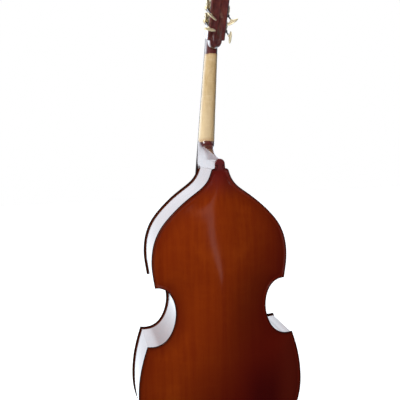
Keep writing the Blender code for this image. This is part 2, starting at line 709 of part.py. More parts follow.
def make_plate(string):
    """Cheek plate with two lugs that carry the worm shaft."""
    side, along, _ = TUNERS[string]
    centre = peg_point(gear_along(string), GEAR_DEPTH)
    low, high = along - 0.0085, along + 0.0335
    outline = [(low, 0.013), (low + 0.003, 0.010), (high - 0.003, 0.010), (high, 0.013), (high, 0.0415),
               (high - 0.003, 0.0445), (low + 0.003, 0.0445), (low, 0.0415)]
    hub = (gear_along(string), GEAR_DEPTH)
    turns = [2 * math.pi * i / 14 for i in range(14)]
    hole = [(hub[0] + 0.0053 * math.cos(t), hub[1] + 0.0053 * math.sin(t)) for t in turns]

    def place(a, b, x):
        return peg_point(a, b, side * x)

    faces = tuple(lambda flat, x=x: np.full(len(flat), x) for x in PLATE)
    plate = sheet("tuner_plate_" + string, [outline, hole], [], faces, place, "brass")
    arc = [math.pi * i / 6 for i in range(7)]
    foot = (PLATE[0] + PLATE[1]) / 2
    lug = [(-0.0055, foot), (0.0055, foot)]
    lug += [(0.0055 * math.cos(t), WORM_X + 0.0055 * math.sin(t)) for t in arc]
    eye = [(0.0036 * math.cos(t), WORM_X + 0.0036 * math.sin(t)) for t in turns]
    for name, depth in (("front", 0.0185), ("rear", 0.0415)):
        faces = tuple(lambda flat, b=depth + half: np.full(len(flat), b) for half in (-0.002, 0.002))
        tool = sheet("lug_" + name + "_" + string, [lug, eye], [], faces,
                     lambda a, x, b: peg_point(along + a, b, side * x), None)
        combine(plate, tool, "UNION")


# ---------------------------------------------------------------- strings and their rests

def bridge_crown(x):
    """Y of the string bed on the bridge at a place across it."""
    down = (NUT_HEIGHT - BRIDGE_HEIGHT) / NECK_UP.z
    lift = 0.010 + 0.0148 * (1 - (x / 0.0435) ** 2)
    return board_point(down).y - lift / NECK_BACK.y


def make_bridge():
    """Two-footed bridge with a heart and two side eyes."""
    rim = [(0.0, 0.049), (0.024, 0.047), (0.032, 0.030), (0.040, 0.016), (0.041, 0.0), (0.053, 0.0),
           (0.066, 0.0), (0.079, 0.0), (0.079, 0.009), (0.068, 0.018), (0.060, 0.036), (0.062, 0.056),
           (0.054, 0.068), (0.041, 0.073), (0.041, 0.082), (0.053, 0.090), (0.057, 0.108), (0.054, 0.135)]
    clearance = 0.0006
    base = clearance - float(front_face((0.045, BRIDGE_HEIGHT))[0])
    points = []
    for x, k in rim:
        seat = clearance - float(front_face((x, BRIDGE_HEIGHT))[0])
        points.append((x, seat if k == 0.0 else base + k))
    crown = [(x, -bridge_crown(x)) for x in np.linspace(0.050, 0.0, 8)]
    right = points + crown
    outline = right + [(-x, h) for x, h in right[-2:0:-1]]
    floor = -float(front_face((0.0, BRIDGE_HEIGHT))[0])

    def oval(x, k, wide, tall, count):
        turns = [2 * math.pi * i / count for i in range(count)]
        return [(x + wide * math.cos(t), floor + k + tall * math.sin(t)) for t in turns]

    holes = [oval(0.0, 0.098, 0.011, 0.015, 10), oval(0.030, 0.108, 0.006, 0.012, 8),
             oval(-0.030, 0.108, 0.006, 0.012, 8)]

    def thickness(sign):
        return lambda flat: sign * (0.0100 - 0.0076 * np.clip((flat[:, 1] - floor) / 0.18, 0, 1))

    sheet("bridge", [outline, *holes], [], (thickness(-1), thickness(1)),
          lambda x, h, w: Vector((x, -h, BRIDGE_HEIGHT + w)), "maple")


def tail_frame():
    """Start, direction down the tailpiece and direction to its front."""
    bridge = Vector((0, bridge_crown(0.030) - 0.0015, BRIDGE_HEIGHT))
    rest = Vector((0, SADDLE_FRONT - WIRE_RADIUS - GAP, SADDLE_TOP - 0.004))
    down = (rest - bridge).normalized()
    return bridge + down * TAIL_START, down, down.cross(SIDE)


def make_tailpiece():
    """Tapered tailpiece with a rounded front, four string holes and two wire holes."""
    start, down, front = tail_frame()
    rings = []
    halves = ((0.0, 0.042), (0.03, 0.0455), (0.35, 0.038), (0.7, 0.029), (0.97, 0.0255), (1.0, 0.023))
    for share, half in halves:
        centre = start + down * TAIL_LENGTH * share
        ring = [centre - SIDE * half - front * TAIL_THICK, centre + SIDE * half - front * TAIL_THICK]
        for i in range(9):
            x = half * (1 - i / 4)
            ring.append(centre + SIDE * x - front * (TAIL_CROWN * (x / half) ** 2))
        rings.append(ring)
    tail = add_object("tailpiece", loft_mesh(rings), "ebony", smooth=40)
    for string, (_, _, at_bridge, _) in STRINGS.items():
        hole = turned("string_hole_" + string, ((-0.03, 0.0032), (0.03, 0.0032)),
                      start + down * HOLE_DOWN + SIDE * at_bridge * HOLE_SPREAD, front, SIDE, 10, None)
        combine(tail, hole, "DIFFERENCE")
    for side in (-1, 1):
        centre = start + down * (TAIL_LENGTH + 0.005) + SIDE * side * WIRE_X - front * WIRE_DEPTH
        hole = turned("wire_hole_" + str(side), ((-0.022, 0.0022), (0.01, 0.0022)), centre, down, SIDE, 8,
                      None)
        combine(tail, hole, "DIFFERENCE")


def make_tail_wire():
    """Wire loop from the tailpiece over the saddle and round the endpin plug."""
    start, down, front = tail_frame()
    first = start + down * (TAIL_LENGTH - 0.012) - front * WIRE_DEPTH
    leave = start + down * (TAIL_LENGTH + 0.010) - front * WIRE_DEPTH
    rest = SADDLE_FRONT - WIRE_RADIUS - 0.0006
    run = [(first.y, first.z), (leave.y, leave.z), (rest, SADDLE_TOP - 0.002), (rest, 0.2325),
           (rest + 0.0008, 0.2290), (rest + 0.0035, 0.2268), (rest + 0.008, WIRE_HEIGHT),
           (-0.05, WIRE_HEIGHT)]
    left = [Vector((-WIRE_X, y, z)) for y, z in run]
    bend = [Vector((-WIRE_X * math.cos(t), WIRE_X * math.sin(t), WIRE_HEIGHT))
            for t in (math.pi * i / 10 for i in range(11))]
    right = [Vector((-p.x, p.y, p.z)) for p in reversed(left)]
    tube("tail_wire", left + bend + right, WIRE_RADIUS, "steel")


def string_line(string):
    """Points of a string: coils on its roller, then nut, bridge and tailpiece hole."""
    radius, x_nut, x_bridge, x_coil = STRINGS[string]
    per_turn = 10
    orbit = (ROLLER_RADIUS + GAP + radius) / math.cos(math.pi / per_turn)
    hub = peg_point(gear_along(string), GEAR_DEPTH)
    spread = 2 * radius + GAP
    nut = board_point(NUT_BEND, board_crown(NUT_BEND, x_nut) + NUT_LIFT + radius + REST_GAP)
    nut += SIDE * x_nut
    outward = 1 if x_coil > 0 else -1
    points = []
    for i in range(STRING_TURNS * per_turn + 1):
        angle = 2 * math.pi * (i / per_turn - STRING_TURNS) + 0.25
        way = math.cos(angle) * -PEG_B + math.sin(angle) * -PEG_A
        x = x_coil + outward * spread * (STRING_TURNS / 2 - i / per_turn)
        points.append(hub + way * orbit + SIDE * x)
    points.append(nut)
    bed = Vector((x_bridge, bridge_crown(x_bridge) - radius - 0.0013, BRIDGE_HEIGHT))
    points.append(bed)
    start, down, front = tail_frame()
    hole = start + down * HOLE_DOWN + SIDE * x_bridge * HOLE_SPREAD
    drop = TAIL_CROWN * (x_bridge * HOLE_SPREAD / 0.0445) ** 2
    for back, rise in ((0.006, radius + 0.0006), (0.0016, radius + 0.0003), (0.0002, -0.0004), (0.0, -0.003),
                       (0.0, -0.0095)):
        points.append(hole - down * back + front * (rise - drop))
    return points


def make_strings():
    for string, (radius, *_) in STRINGS.items():
        tube("string_" + string, string_line(string), radius, "string")


# ---------------------------------------------------------------- endpin

def make_endpin():
    """Saddle, plug, collar, thumb screw, sliding rod and rubber tip."""
    up = Vector((0, 0, 1))
    base = Vector((0, 0, 0))
    top, low = RIM_FRONT - 0.0010, SADDLE_FRONT
    section = [(top, BODY_BOTTOM + 0.0004), (low, BODY_BOTTOM + 0.0004), (low, SADDLE_TOP - 0.003),
               (low + 0.003, SADDLE_TOP), (top, SADDLE_TOP)]
    prism("saddle", [Vector((-0.027, y, z)) for y, z in section], SIDE * 0.054, "ebony")
    rib_face = BODY_BOTTOM + OVERHANG
    bore = ROD_RADIUS + GAP
    plug = ((0.300, 0.0148), (rib_face - GAP, 0.0150), (rib_face - GAP, 0.019), (0.2295, 0.019),
            (0.2295, 0.0134), (0.2235, 0.0134), (0.2235, 0.019), (0.2150, 0.019), (0.2050, 0.0145),
            (0.2050, bore), (0.300, bore))
    turned("endpin_plug", plug, base, up, SIDE, 24, "ebony", loop=True)
    collar = ((0.2047, 0.0125), (0.1850, 0.0125), (0.1830, 0.0110), (0.1830, bore), (0.2047, bore))
    collar = turned("endpin_collar", collar, base, up, SIDE, 20, "steel", loop=True)
    side = Vector((0, 1, 0))
    screw_base = Vector((0, 0, SCREW_HEIGHT))
    hole = turned("screw_hole", ((0.002, 0.0028), (0.02, 0.0028)), screw_base, side, SIDE, 10, None)
    combine(collar, hole, "DIFFERENCE")
    shaft = ((bore + GAP, 0.0024), (0.0240, 0.0024), (0.0240, 0.0045), (0.0290, 0.0045))
    screw = turned("thumb_screw", shaft, screw_base, side, SIDE, 10, "steel")
    wing = [(-0.004, 0.0250), (0.004, 0.0250), (0.0115, 0.031), (0.0115, 0.037), (0.007, 0.038),
            (0.0, 0.031), (-0.007, 0.038), (-0.0115, 0.037), (-0.0115, 0.031)]
    outline = [screw_base + SIDE * x + side * y - up * 0.0015 for x, y in wing]
    combine(screw, prism("screw_wing", outline, up * 0.003, None), "UNION")
    turned("endpin_rod", ((0.012, ROD_RADIUS), (0.470, ROD_RADIUS)), base, up, SIDE, 16, "steel")
    tip = ((0.0, 0.0085), (0.004, 0.011), (0.022, 0.010), (0.036, 0.0078), (0.036, bore), (0.0117, bore))
    turned("endpin_tip", tip, base, up, SIDE, 18, "rubber")


def build():
    """Clear the scene and make every piece."""
    for obj in list(bpy.data.objects):
        bpy.data.objects.remove(obj, do_unlink=True)
    mortise = make_mortise()
    plug_hole = turned("plug_hole_cutter", ((0.2, 0.0153), (0.32, 0.0153)), (0, 0, 0), Vector((0, 0, 1)),
                       SIDE, 24, None)
    make_plates(mortise)
    make_ribs(mortise, plug_hole)
    make_blocks(mortise, plug_hole)
    make_bar_and_post()
    make_neck()
    make_board()
    for string in TUNERS:
        make_plate(string)
        make_worm(string)
        make_gear(string)
        make_roller(string)
    make_bridge()
    make_tailpiece()
    make_tail_wire()
    make_strings()
    make_endpin()


build()
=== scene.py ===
"""Looks of a three-quarter double bass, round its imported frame. Metres, +Z up, strings to -Y."""

import math

import bmesh
import bpy
import numpy as np
from mathutils import Matrix, Vector
from mathutils.geometry import delaunay_2d_cdt


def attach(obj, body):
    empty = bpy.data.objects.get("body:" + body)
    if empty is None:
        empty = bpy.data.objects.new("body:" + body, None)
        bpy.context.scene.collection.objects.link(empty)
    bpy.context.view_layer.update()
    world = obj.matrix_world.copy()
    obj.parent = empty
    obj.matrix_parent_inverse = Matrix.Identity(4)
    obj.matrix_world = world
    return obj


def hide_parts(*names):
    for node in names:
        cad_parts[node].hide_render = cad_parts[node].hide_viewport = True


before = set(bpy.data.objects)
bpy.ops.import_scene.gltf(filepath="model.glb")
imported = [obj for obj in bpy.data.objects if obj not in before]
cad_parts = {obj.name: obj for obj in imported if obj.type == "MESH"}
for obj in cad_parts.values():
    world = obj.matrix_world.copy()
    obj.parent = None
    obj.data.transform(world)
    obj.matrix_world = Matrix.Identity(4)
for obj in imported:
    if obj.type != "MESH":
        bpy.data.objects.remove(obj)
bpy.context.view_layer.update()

# ---------------------------------------------------------------- the frame's measures

GAP = 0.0003
BODY_BOTTOM = 0.230
BODY_TOP = 1.117
RIM_FRONT = -0.102
RIM_BACK = 0.103
RIM = 0.005
CENTRE = 0.007
ARCH = 0.034
LONG_ARCH_POWER, CROSS_ARCH_POWER = 2.6, 1.25
CHANNEL_DEPTH, CHANNEL_PLACE, CHANNEL_WIDTH = 0.0011, 0.0125, 0.0055
FLAT_EDGE = 0.014
OVERHANG = 0.004
TOP_OUTSET = 0.0018
TOP_NOTCH_HALF = 0.03
PLUG_HOLE_RADIUS = 0.0153
EDGE_ROUNDING = 0.0028
RIB = 0.0022
BUTTON_RADIUS = 0.0185
BUTTON_CENTRE = 1.133
SLOPE = 0.29
NUT_HEIGHT = 1.805
NUT_FRONT = 0.0013
BOARD_LENGTH = 0.85
BOARD_EDGE = 0.008
BOARD_CROWN = (0.004, 0.012)
BOARD_HALF = (0.0215, 0.044)
NUT_LENGTH = 0.009
NUT_LIFT = 0.0015
NUT_BEND = -0.0042
ROOT_BOTTOM = 1.312
ROOT_HALF = (0.0308, 0.0185)
HEEL_HALF = 0.0315
ROOT_FRONT = -0.13
PEGBOX_LEAN = math.radians(31)
CHEEK = 0.0285
CAVITY = 0.0190
CHIN = 0.0215
SCROLL_ALONG = 0.237
SCROLL_DEPTH = 0.006
GEAR_TEETH = 15
GEAR_RADIUS = 0.0125
WORM_RADIUS = 0.0048
ADDENDUM = 0.0012
DEDENDUM = 0.0015
WORM_X = 0.0375
GEAR_DEPTH = 0.030
GEAR_HALF = 0.0035
PLATE = (0.0288, 0.0306)
HUB_HOLE = 0.0055
WORM_BEARINGS = (0.0185, 0.0415)
ROLLER_RADIUS = 0.005
KEY_LONG, KEY_TALL, KEY_THICK = 0.0212, 0.0115, 0.0031
KEY_MIDDLE = 0.0095
TUNERS = {"E": (-1, 0.040, 90), "G": (1, 0.066, 8), "A": (-1, 0.094, 145), "D": (1, 0.112, 36)}
KEY_REACH = {"E": 0.0605, "G": 0.0605, "A": 0.0605, "D": 0.0660}
STRINGS = {
    "E": (0.00135, -0.0156, -0.0435, -0.0098),
    "A": (0.00105, -0.0052, -0.0145, -0.0045),
    "D": (0.00080, 0.0052, 0.0145, 0.0030),
    "G": (0.00060, 0.0156, 0.0435, 0.0125),
}
STRING_TURNS = 3
SILK_ABOVE_NUT, SILK_AT_TAIL = 0.03, 0.13
BRIDGE_HEIGHT = 0.808
TAIL_START = 0.115
TAIL_LENGTH = 0.330
TAIL_THICK = 0.014
TAIL_CROWN = 0.0085
HOLE_DOWN = 0.024
HOLE_SPREAD = 0.76
STRING_HOLE, WIRE_HOLE = 0.0032, 0.0022
WIRE_DEPTH = 0.009
SADDLE_FRONT = -0.117
SADDLE_TOP = 0.246
WIRE_RADIUS = 0.00175
WIRE_X = 0.0156
WIRE_HEIGHT = 0.2265
ROD_RADIUS = 0.005
SCREW_HEIGHT = 0.194

PEG_A = Vector((0, math.sin(PEGBOX_LEAN), math.cos(PEGBOX_LEAN)))
PEG_B = Vector((0, math.cos(PEGBOX_LEAN), -math.sin(PEGBOX_LEAN)))
NECK_UP = Vector((0, SLOPE, 1)).normalized()
NECK_BACK = Vector((0, 1, -SLOPE)).normalized()
NUT_EDGE = Vector((0, NUT_FRONT, NUT_HEIGHT))
SIDE = Vector((1, 0, 0))
UP = Vector((0, 0, 1))


# ---------------------------------------------------------------- materials

def add(tree, kind, inputs=None, **settings):
    """New shader node. Inputs are values or sockets."""
    node = tree.nodes.new("ShaderNode" + kind)
    for key, value in settings.items():
        setattr(node, key, value)
    for key, value in (inputs or {}).items():
        if isinstance(value, bpy.types.NodeSocket):
            tree.links.new(value, node.inputs[key])
        else:
            node.inputs[key].default_value = value
    return node


def feed(shader, name, socket):
    """Link a socket to one of the shader's inputs."""
    shader.id_data.links.new(socket, shader.inputs[name])


def calc(tree, operation, a, b=0.0):
    return add(tree, "Math", {0: a, 1: b}, operation=operation).outputs[0]


def blend(tree, factor, a, b):
    """Mix of two colours."""
    a = (*a, 1) if isinstance(a, tuple) else a
    b = (*b, 1) if isinstance(b, tuple) else b
    return add(tree, "Mix", {0: factor, 6: a, 7: b}, data_type="RGBA").outputs[2]


def span(tree, value, low, high, to_low=0.0, to_high=1.0):
    """Smooth step from one value to another."""
    node = add(tree, "MapRange", {"Value": value, "From Min": low, "From Max": high,
        "To Min": to_low, "To Max": to_high}, interpolation_type="SMOOTHSTEP")
    return node.outputs[0]


def place_of(tree, scale=(1, 1, 1), mirrored=False):
    """Object coordinates, stretched, and mirrored across the middle for book-matched wood."""
    vector = add(tree, "TexCoord").outputs["Object"]
    if mirrored:
        parts = add(tree, "SeparateXYZ", {0: vector})
        across = calc(tree, "ABSOLUTE", parts.outputs[0])
        vector = add(tree, "CombineXYZ", {0: across, 1: parts.outputs[1],
            2: parts.outputs[2]}).outputs[0]
    return add(tree, "Mapping", {"Vector": vector, "Scale": scale}).outputs[0]


def noise(tree, vector, scale=1.0, detail=4.0, roughness=0.5, distortion=0.0):
    return add(tree, "TexNoise", {"Vector": vector, "Scale": scale, "Detail": detail,
        "Roughness": roughness, "Distortion": distortion}).outputs[0]


def relief(tree, height, distance, strength=1.0, normal=None):
    node = add(tree, "Bump", {"Height": height, "Distance": distance, "Strength": strength})
    if normal is not None:
        tree.links.new(normal, node.inputs["Normal"])
    return node.outputs[0]


def new_material(name, roughness, **sockets):
    """Material with a Principled shader. Uniform values go straight to its sockets."""
    material = bpy.data.materials.new(name)
    material.use_nodes = True
    shader = material.node_tree.nodes["Principled BSDF"]
    shader.inputs["Roughness"].default_value = roughness
    for key, value in sockets.items():
        shader.inputs[key.replace("_", " ")].default_value = value
    return material, material.node_tree, shader


def attribute(tree, name):
    return add(tree, "Attribute", attribute_name=name).outputs["Fac"]


def wood_pattern(tree, grain, figure, mirrored=False):
    """Streaks along the grain, fine pores and a figure across it, each 0 to 1."""
    streaks = noise(tree, place_of(tree, grain, mirrored), 1, 6, 0.62)
    pores = noise(tree, place_of(tree, tuple(9 * g for g in grain), mirrored), 1, 2, 0.6)
    waves = noise(tree, place_of(tree, figure, mirrored), 1, 3, 0.5, 0.8)
    return streaks, pores, waves


def painted_shade_and_tints(tree):
    """Shares of BACK_SHADES: painted shade, partly uneven varnish, on the lower bass side, its
    deepest part and the bass edge; then shoulders and button.
    """
    parts = add(tree, "SeparateXYZ", {0: add(tree, "TexCoord").outputs["Object"]})
    across, height = calc(tree, "MULTIPLY", parts.outputs[0], -1.0), parts.outputs[2]
    slanted = calc(tree, "MULTIPLY", calc(tree, "SUBTRACT", height, 1.0), -0.45)
    # Painted shade, partly uneven varnish: darker towards the lower bass side, most in a low band,
    # and along the bass edge.
    lower = span(tree, calc(tree, "ADD", across, slanted), -0.02, 0.34, 0.0, 0.90)
    band = calc(tree, "ABSOLUTE", calc(tree, "SUBTRACT", across, DEEP_SHADE_X))
    low = span(tree, height, 0.48, 0.66, 0.75, 0.0)
    deepest = calc(tree, "MULTIPLY", span(tree, band, 0.02, 0.11, 1.0, 0.0), low)
    side = span(tree, across, 0.185, 0.290, 0.0, 0.55)
    shoulders = span(tree, height, 1.225, 1.335, 0.0, 0.90)
    return lower, deepest, side, shoulders, span(tree, height, 1.336, 1.348)


def varnished(name, tones, rim_tone, grain, figure, contrast=1.0, mirrored=False, rim=0.0,
        waves=0.35, with_painted_shade=False, coat=1.0, coat_ior=1.5):
    """Glossy varnished wood. Rim is the strength of the dark band by an inlaid edge."""
    material, tree, shader = new_material(name, 0.38, Coat_Weight=coat, Coat_Roughness=0.11,
        Coat_IOR=coat_ior, Specular_IOR_Level=0.0)
    streaks, pores, figure_waves = wood_pattern(tree, grain, figure, mirrored)
    dark, middle, light = tones
    grain_share = span(tree, streaks, 0.5 - 0.22 / contrast, 0.5 + 0.20 / contrast)
    colour = blend(tree, grain_share, dark, middle)
    shine = calc(tree, "MULTIPLY", span(tree, figure_waves, 0.42, 0.68), waves)
    colour = blend(tree, shine, colour, light)
    cloud = noise(tree, place_of(tree, (8, 8, 6), mirrored), 1, 4)
    colour = blend(tree, span(tree, cloud, 0.36, 0.70, 0, 0.5), colour, dark)
    colour = blend(tree, span(tree, cloud, 0.44, 0.30, 0, 0.4), colour, light)
    colour = blend(tree, span(tree, pores, 0.62, 0.75, 0, 0.35), colour, rim_tone)
    # Painted shade on the back's bass side, partly uneven varnish, with tones at the shoulders and
    # button.
    if with_painted_shade:
        for share, shade in zip(painted_shade_and_tints(tree), BACK_SHADES):
            colour = blend(tree, share, colour, shade)
    if rim:
        distance = attribute(tree, "rim")
        colour = blend(tree, span(tree, distance, 0.004, 0.060, rim, 0.0), colour, rim_tone)
        line = calc(tree, "SUBTRACT", distance, INLAY_PLACE)
        line = span(tree, calc(tree, "ABSOLUTE", line), 0.0005, 0.0010, 0.75, 0.0)
        colour = blend(tree, line, colour, INLAY_BLACK)
        colour = blend(tree, span(tree, distance, 0.0024, 0.0042, 0.95, 0.0), colour, EDGE_PAINT)
        feed(shader, "Coat Weight", span(tree, distance, 0.0016, 0.0034, 0.15 * coat, coat))
    feed(shader, "Base Color", colour)
    feed(shader, "Normal", relief(tree, pores, 0.00008, 0.5))
    hand = noise(tree, place_of(tree, (9, 9, 6), mirrored), 1, 2)
    peel = noise(tree, place_of(tree, (160, 160, 160)), 1, 2)
    skin = relief(tree, peel, 0.00003, 0.6, relief(tree, hand, 0.0012, 0.5))
    feed(shader, "Coat Normal", skin)
    return material


def neck_wood():
    """Pale bare neck between a varnished heel and a varnished pegbox, with painted light and
    painted shade on the bare part.
    """
    material, tree, shader = new_material("neck_maple_looks", 0.36,
        Coat_Roughness=0.07, Coat_IOR=1.5)
    streaks, pores, waves = wood_pattern(tree, (90, 90, 5), (30, 30, 60))
    pale = blend(tree, span(tree, streaks, 0.3, 0.7), (0.57, 0.395, 0.195), (0.71, 0.525, 0.275))
    pale = blend(tree, span(tree, waves, 0.45, 0.7, 0, 0.35), pale, (0.84, 0.69, 0.45))
    pale = blend(tree, span(tree, pores, 0.60, 0.75, 0, 0.4), pale, (0.36, 0.21, 0.09))
    dark = blend(tree, span(tree, streaks, 0.35, 0.65), (0.062, 0.010, 0.012),
                 (0.115, 0.020, 0.017))
    dark = blend(tree, span(tree, waves, 0.45, 0.7, 0, 0.5), dark, (0.16, 0.036, 0.022))
    point = add(tree, "TexCoord").outputs["Object"]
    offset = add(tree, "VectorMath", {0: point, 1: NUT_EDGE}, operation="SUBTRACT").outputs[0]
    up = add(tree, "VectorMath", {0: offset, 1: NECK_UP}, operation="DOT_PRODUCT").outputs["Value"]
    across = add(tree, "SeparateXYZ", {0: point}).outputs[0]
    smile = calc(tree, "MULTIPLY", calc(tree, "MULTIPLY", across, across), -11.0)
    ragged = calc(tree, "MULTIPLY", noise(tree, place_of(tree, (130, 130, 60)), 1, 3), 0.004)
    down = calc(tree, "SUBTRACT", calc(tree, "ADD", smile, ragged), up)
    upper = span(tree, down, BARE_FROM, BARE_FROM + 0.0015, 1.0, 0.0)
    lower = span(tree, down, BARE_TO, BARE_TO + 0.004)
    coated = calc(tree, "MAXIMUM", upper, lower)
    # Painted light: the bare neck lighter towards the heel.
    pale = blend(tree, span(tree, down, 0.12, 0.34, 0.0, 0.6), pale, (0.97, 0.78, 0.50))
    # Painted shade: the bare neck darker and more golden on its bass side.
    pale = blend(tree, span(tree, across, 0.004, -0.015, 0.0, 0.45), pale, (0.50, 0.31, 0.12))
    seam = calc(tree, "MAXIMUM", span(tree, down, 0.044, 0.052, 0.5, 0.0), span(tree, down, 0.350,
        BARE_TO, 0.0, 0.5))
    pale = blend(tree, seam, pale, (0.40, 0.20, 0.08))
    colour = blend(tree, coated, pale, dark)
    feed(shader, "Base Color", colour)
    feed(shader, "Coat Weight", calc(tree, "ADD", calc(tree, "MULTIPLY", coated, 0.7), 0.3))
    tool_marks = noise(tree, place_of(tree, (75, 75, 55)), 1, 2)
    depth = calc(tree, "MULTIPLY", calc(tree, "ADD", coated, 0.06), tool_marks)
    feed(shader, "Normal", relief(tree, pores, 0.0001, 0.5))
    feed(shader, "Coat Normal", relief(tree, depth, 0.0012, 0.45))
    return material


def plain_wood(name, dark, light, grain, figure, roughness=0.6, fleck=0.0, shine=0.5):
    material, tree, shader = new_material(name, roughness, Specular_IOR_Level=shine)
    streaks, pores, waves = wood_pattern(tree, grain, figure)
    colour = blend(tree, span(tree, streaks, 0.32, 0.68), dark, light)
    colour = blend(tree, span(tree, waves, 0.5, 0.75, 0, fleck), colour,
        tuple(0.55 * c for c in dark))
    colour = blend(tree, span(tree, pores, 0.6, 0.75, 0, 0.35), colour,
        tuple(0.45 * c for c in dark))
    feed(shader, "Base Color", colour)
    rough = calc(tree, "ADD", calc(tree, "MULTIPLY", streaks, 0.16), roughness - 0.08)
    feed(shader, "Roughness", rough)
    feed(shader, "Normal", relief(tree, pores, 0.0001, 0.6))
    return material


def metal(name, colour, tarnish, roughness, metallic=1.0):
    """Metal with tarnish in patches and fine scratches."""
    material, tree, shader = new_material(name, roughness, Metallic=metallic)
    cloud = noise(tree, place_of(tree, (70, 70, 70)), 1, 5, 0.65)
    colour = blend(tree, span(tree, cloud, 0.42, 0.68, 0, 0.5), colour, tarnish)
    feed(shader, "Base Color", colour)
    scratches = noise(tree, place_of(tree, (1200, 1200, 1200)), 1, 2, 0.6)
    rough = calc(tree, "ADD", calc(tree, "MULTIPLY", cloud, 0.22), roughness - 0.09)
    feed(shader, "Roughness", rough)
    feed(shader, "Normal", relief(tree, scratches, 0.00004, 0.5))
    return material


def string_wire():
    """Flat-wound steel with silk thread over both ends."""
    material, tree, shader = new_material("wound_steel_looks", 0.3)
    along = attribute(tree, "along")
    silk = attribute(tree, "silk")
    ridges = calc(tree, "SINE", calc(tree, "MULTIPLY", along, SILK_TURNS))
    grime = noise(tree, place_of(tree, (90, 90, 18)), 1, 3)
    steel = blend(tree, span(tree, grime, 0.4, 0.7, 0, 0.6), (0.56, 0.55, 0.54), (0.30, 0.27, 0.24))
    # Painted shade: the silk darker in the grooves between its turns, following the relief.
    thread = blend(tree, span(tree, ridges, -0.2, 0.8), (0.10, 0.006, 0.006), (0.30, 0.020, 0.016))
    feed(shader, "Base Color", blend(tree, silk, steel, thread))
    feed(shader, "Metallic", calc(tree, "SUBTRACT", 1.0, silk))
    feed(shader, "Roughness", calc(tree, "ADD", calc(tree, "MULTIPLY", silk, 0.4), 0.3))
    feed(shader, "Normal", relief(tree, ridges, 0.00006, 0.6))
    return material


def rubber():
    material, tree, shader = new_material("rubber_looks", 0.8)
    dust = noise(tree, place_of(tree, (140, 140, 140)), 1, 4)
    colour = blend(tree, span(tree, dust, 0.4, 0.8), (0.014, 0.014, 0.014), (0.05, 0.047, 0.043))
    feed(shader, "Base Color", colour)
    feed(shader, "Normal", relief(tree, dust, 0.0003, 0.5))
    return material


INLAY_PLACE = 0.0062
INLAY_BLACK = (0.012, 0.004, 0.002)
EDGE_PAINT = (0.013, 0.0026, 0.0020)
BARE_FROM, BARE_TO = 0.0425, 0.366
SILK_TURNS = 2600
DEEP_SHADE_X = 0.165
# Tones over the back; the first three are painted shade on its bass side, partly uneven varnish.
BACK_SHADES = (
    (0.094, 0.0030, 0.0014),    # lower bass side
    (0.055, 0.0009, 0.0010),    # its deepest part
    (0.125, 0.0130, 0.0050),    # bass edge
    (0.125, 0.0100, 0.0095),    # shoulders
    (0.130, 0.0260, 0.0300),    # button
)
MAPLE_TONES = ((0.190, 0.0200, 0.0014), (0.235, 0.0300, 0.0019), (0.285, 0.0440, 0.0032))
RIB_TONES = ((0.085, 0.0095, 0.0009), (0.120, 0.0160, 0.0012), (0.160, 0.0260, 0.0022))
LOOKS = {
    "back": varnished("varnished_maple_back", MAPLE_TONES, (0.085, 0.0035, 0.0010), (62, 62, 2.4),
        (14, 14, 34), mirrored=True, rim=0.45, waves=0.16, with_painted_shade=True),
    "ribs": varnished("varnished_maple_ribs", RIB_TONES, (0.060, 0.0030, 0.0009), (6, 40, 40),
        (34, 9, 34), waves=0.45, coat_ior=1.8),
    "top": varnished("varnished_spruce_looks", ((0.135, 0.024, 0.003), (0.215, 0.052, 0.007),
        (0.26, 0.072, 0.011)), (0.050, 0.006, 0.001), (330, 330, 1.6), (6, 6, 14), contrast=1.5,
        mirrored=True, rim=0.75, waves=0.15, coat=0.25),
    "neck": neck_wood(),
    "bare": plain_wood("bare_wood_looks", (0.52, 0.34, 0.16), (0.68, 0.50, 0.28), (90, 90, 6),
        (20, 20, 20), 0.7),
    "ebony": plain_wood("ebony_looks", (0.010, 0.008, 0.007), (0.024, 0.019, 0.016), (150, 150, 6),
        (20, 20, 20), 0.42, shine=0.2),
    "bridge": plain_wood("bridge_maple_looks", (0.52, 0.33, 0.15), (0.66, 0.46, 0.24), (60, 60, 8),
        (260, 40, 160), 0.5, fleck=0.6),
    "brass": metal("brass_looks", (0.66, 0.56, 0.36), (0.36, 0.29, 0.16), 0.32),
    "key_brass": metal("key_brass_looks", (0.84, 0.73, 0.49), (0.60, 0.50, 0.29),
        0.30, metallic=0.40),
    "steel": metal("steel_looks", (0.62, 0.62, 0.63), (0.30, 0.29, 0.28), 0.24),
    "dark_steel": metal("dark_steel_looks", (0.20, 0.20, 0.22), (0.08, 0.08, 0.09), 0.32),
    "string": string_wire(),
    "rubber": rubber(),
}


# ---------------------------------------------------------------- mesh helpers

class Shape:
    """Points and faces collected from several closed forms into one piece."""

    def __init__(self):
        self.points = []
        self.faces = []

    def loft(self, rings, loop=False):
        """Skin closed rings. The ends get caps, or the last ring joins the first."""
        start, size = len(self.points), len(rings[0])
        self.points += [Vector(p) for ring in rings for p in ring]
        count = len(rings)
        for k in range(count if loop else count - 1):
            low, high = start + k * size, start + (k + 1) % count * size
            for i in range(size):
                j = (i + 1) % size
                self.faces.append((low + i, low + j, high + j, high + i))
        if not loop:
            self.faces.append(tuple(start + i for i in reversed(range(size))))
            self.faces.append(tuple(start + (count - 1) * size + i for i in range(size)))
        return self

    def turned(self, profile, centre, axis, u, sides=32, loop=False):
        centre, v = Vector(centre), axis.cross(u)
        return self.loft([circle(centre + axis * along, max(radius, 1e-5), u, v, sides)
            for along, radius in profile], loop)

    def make(self, name, look, body, slot, replaces=(), smooth=35):
        """Finished piece of everything collected."""
        return dress(raw(self, name), look, body, replaces, smooth)


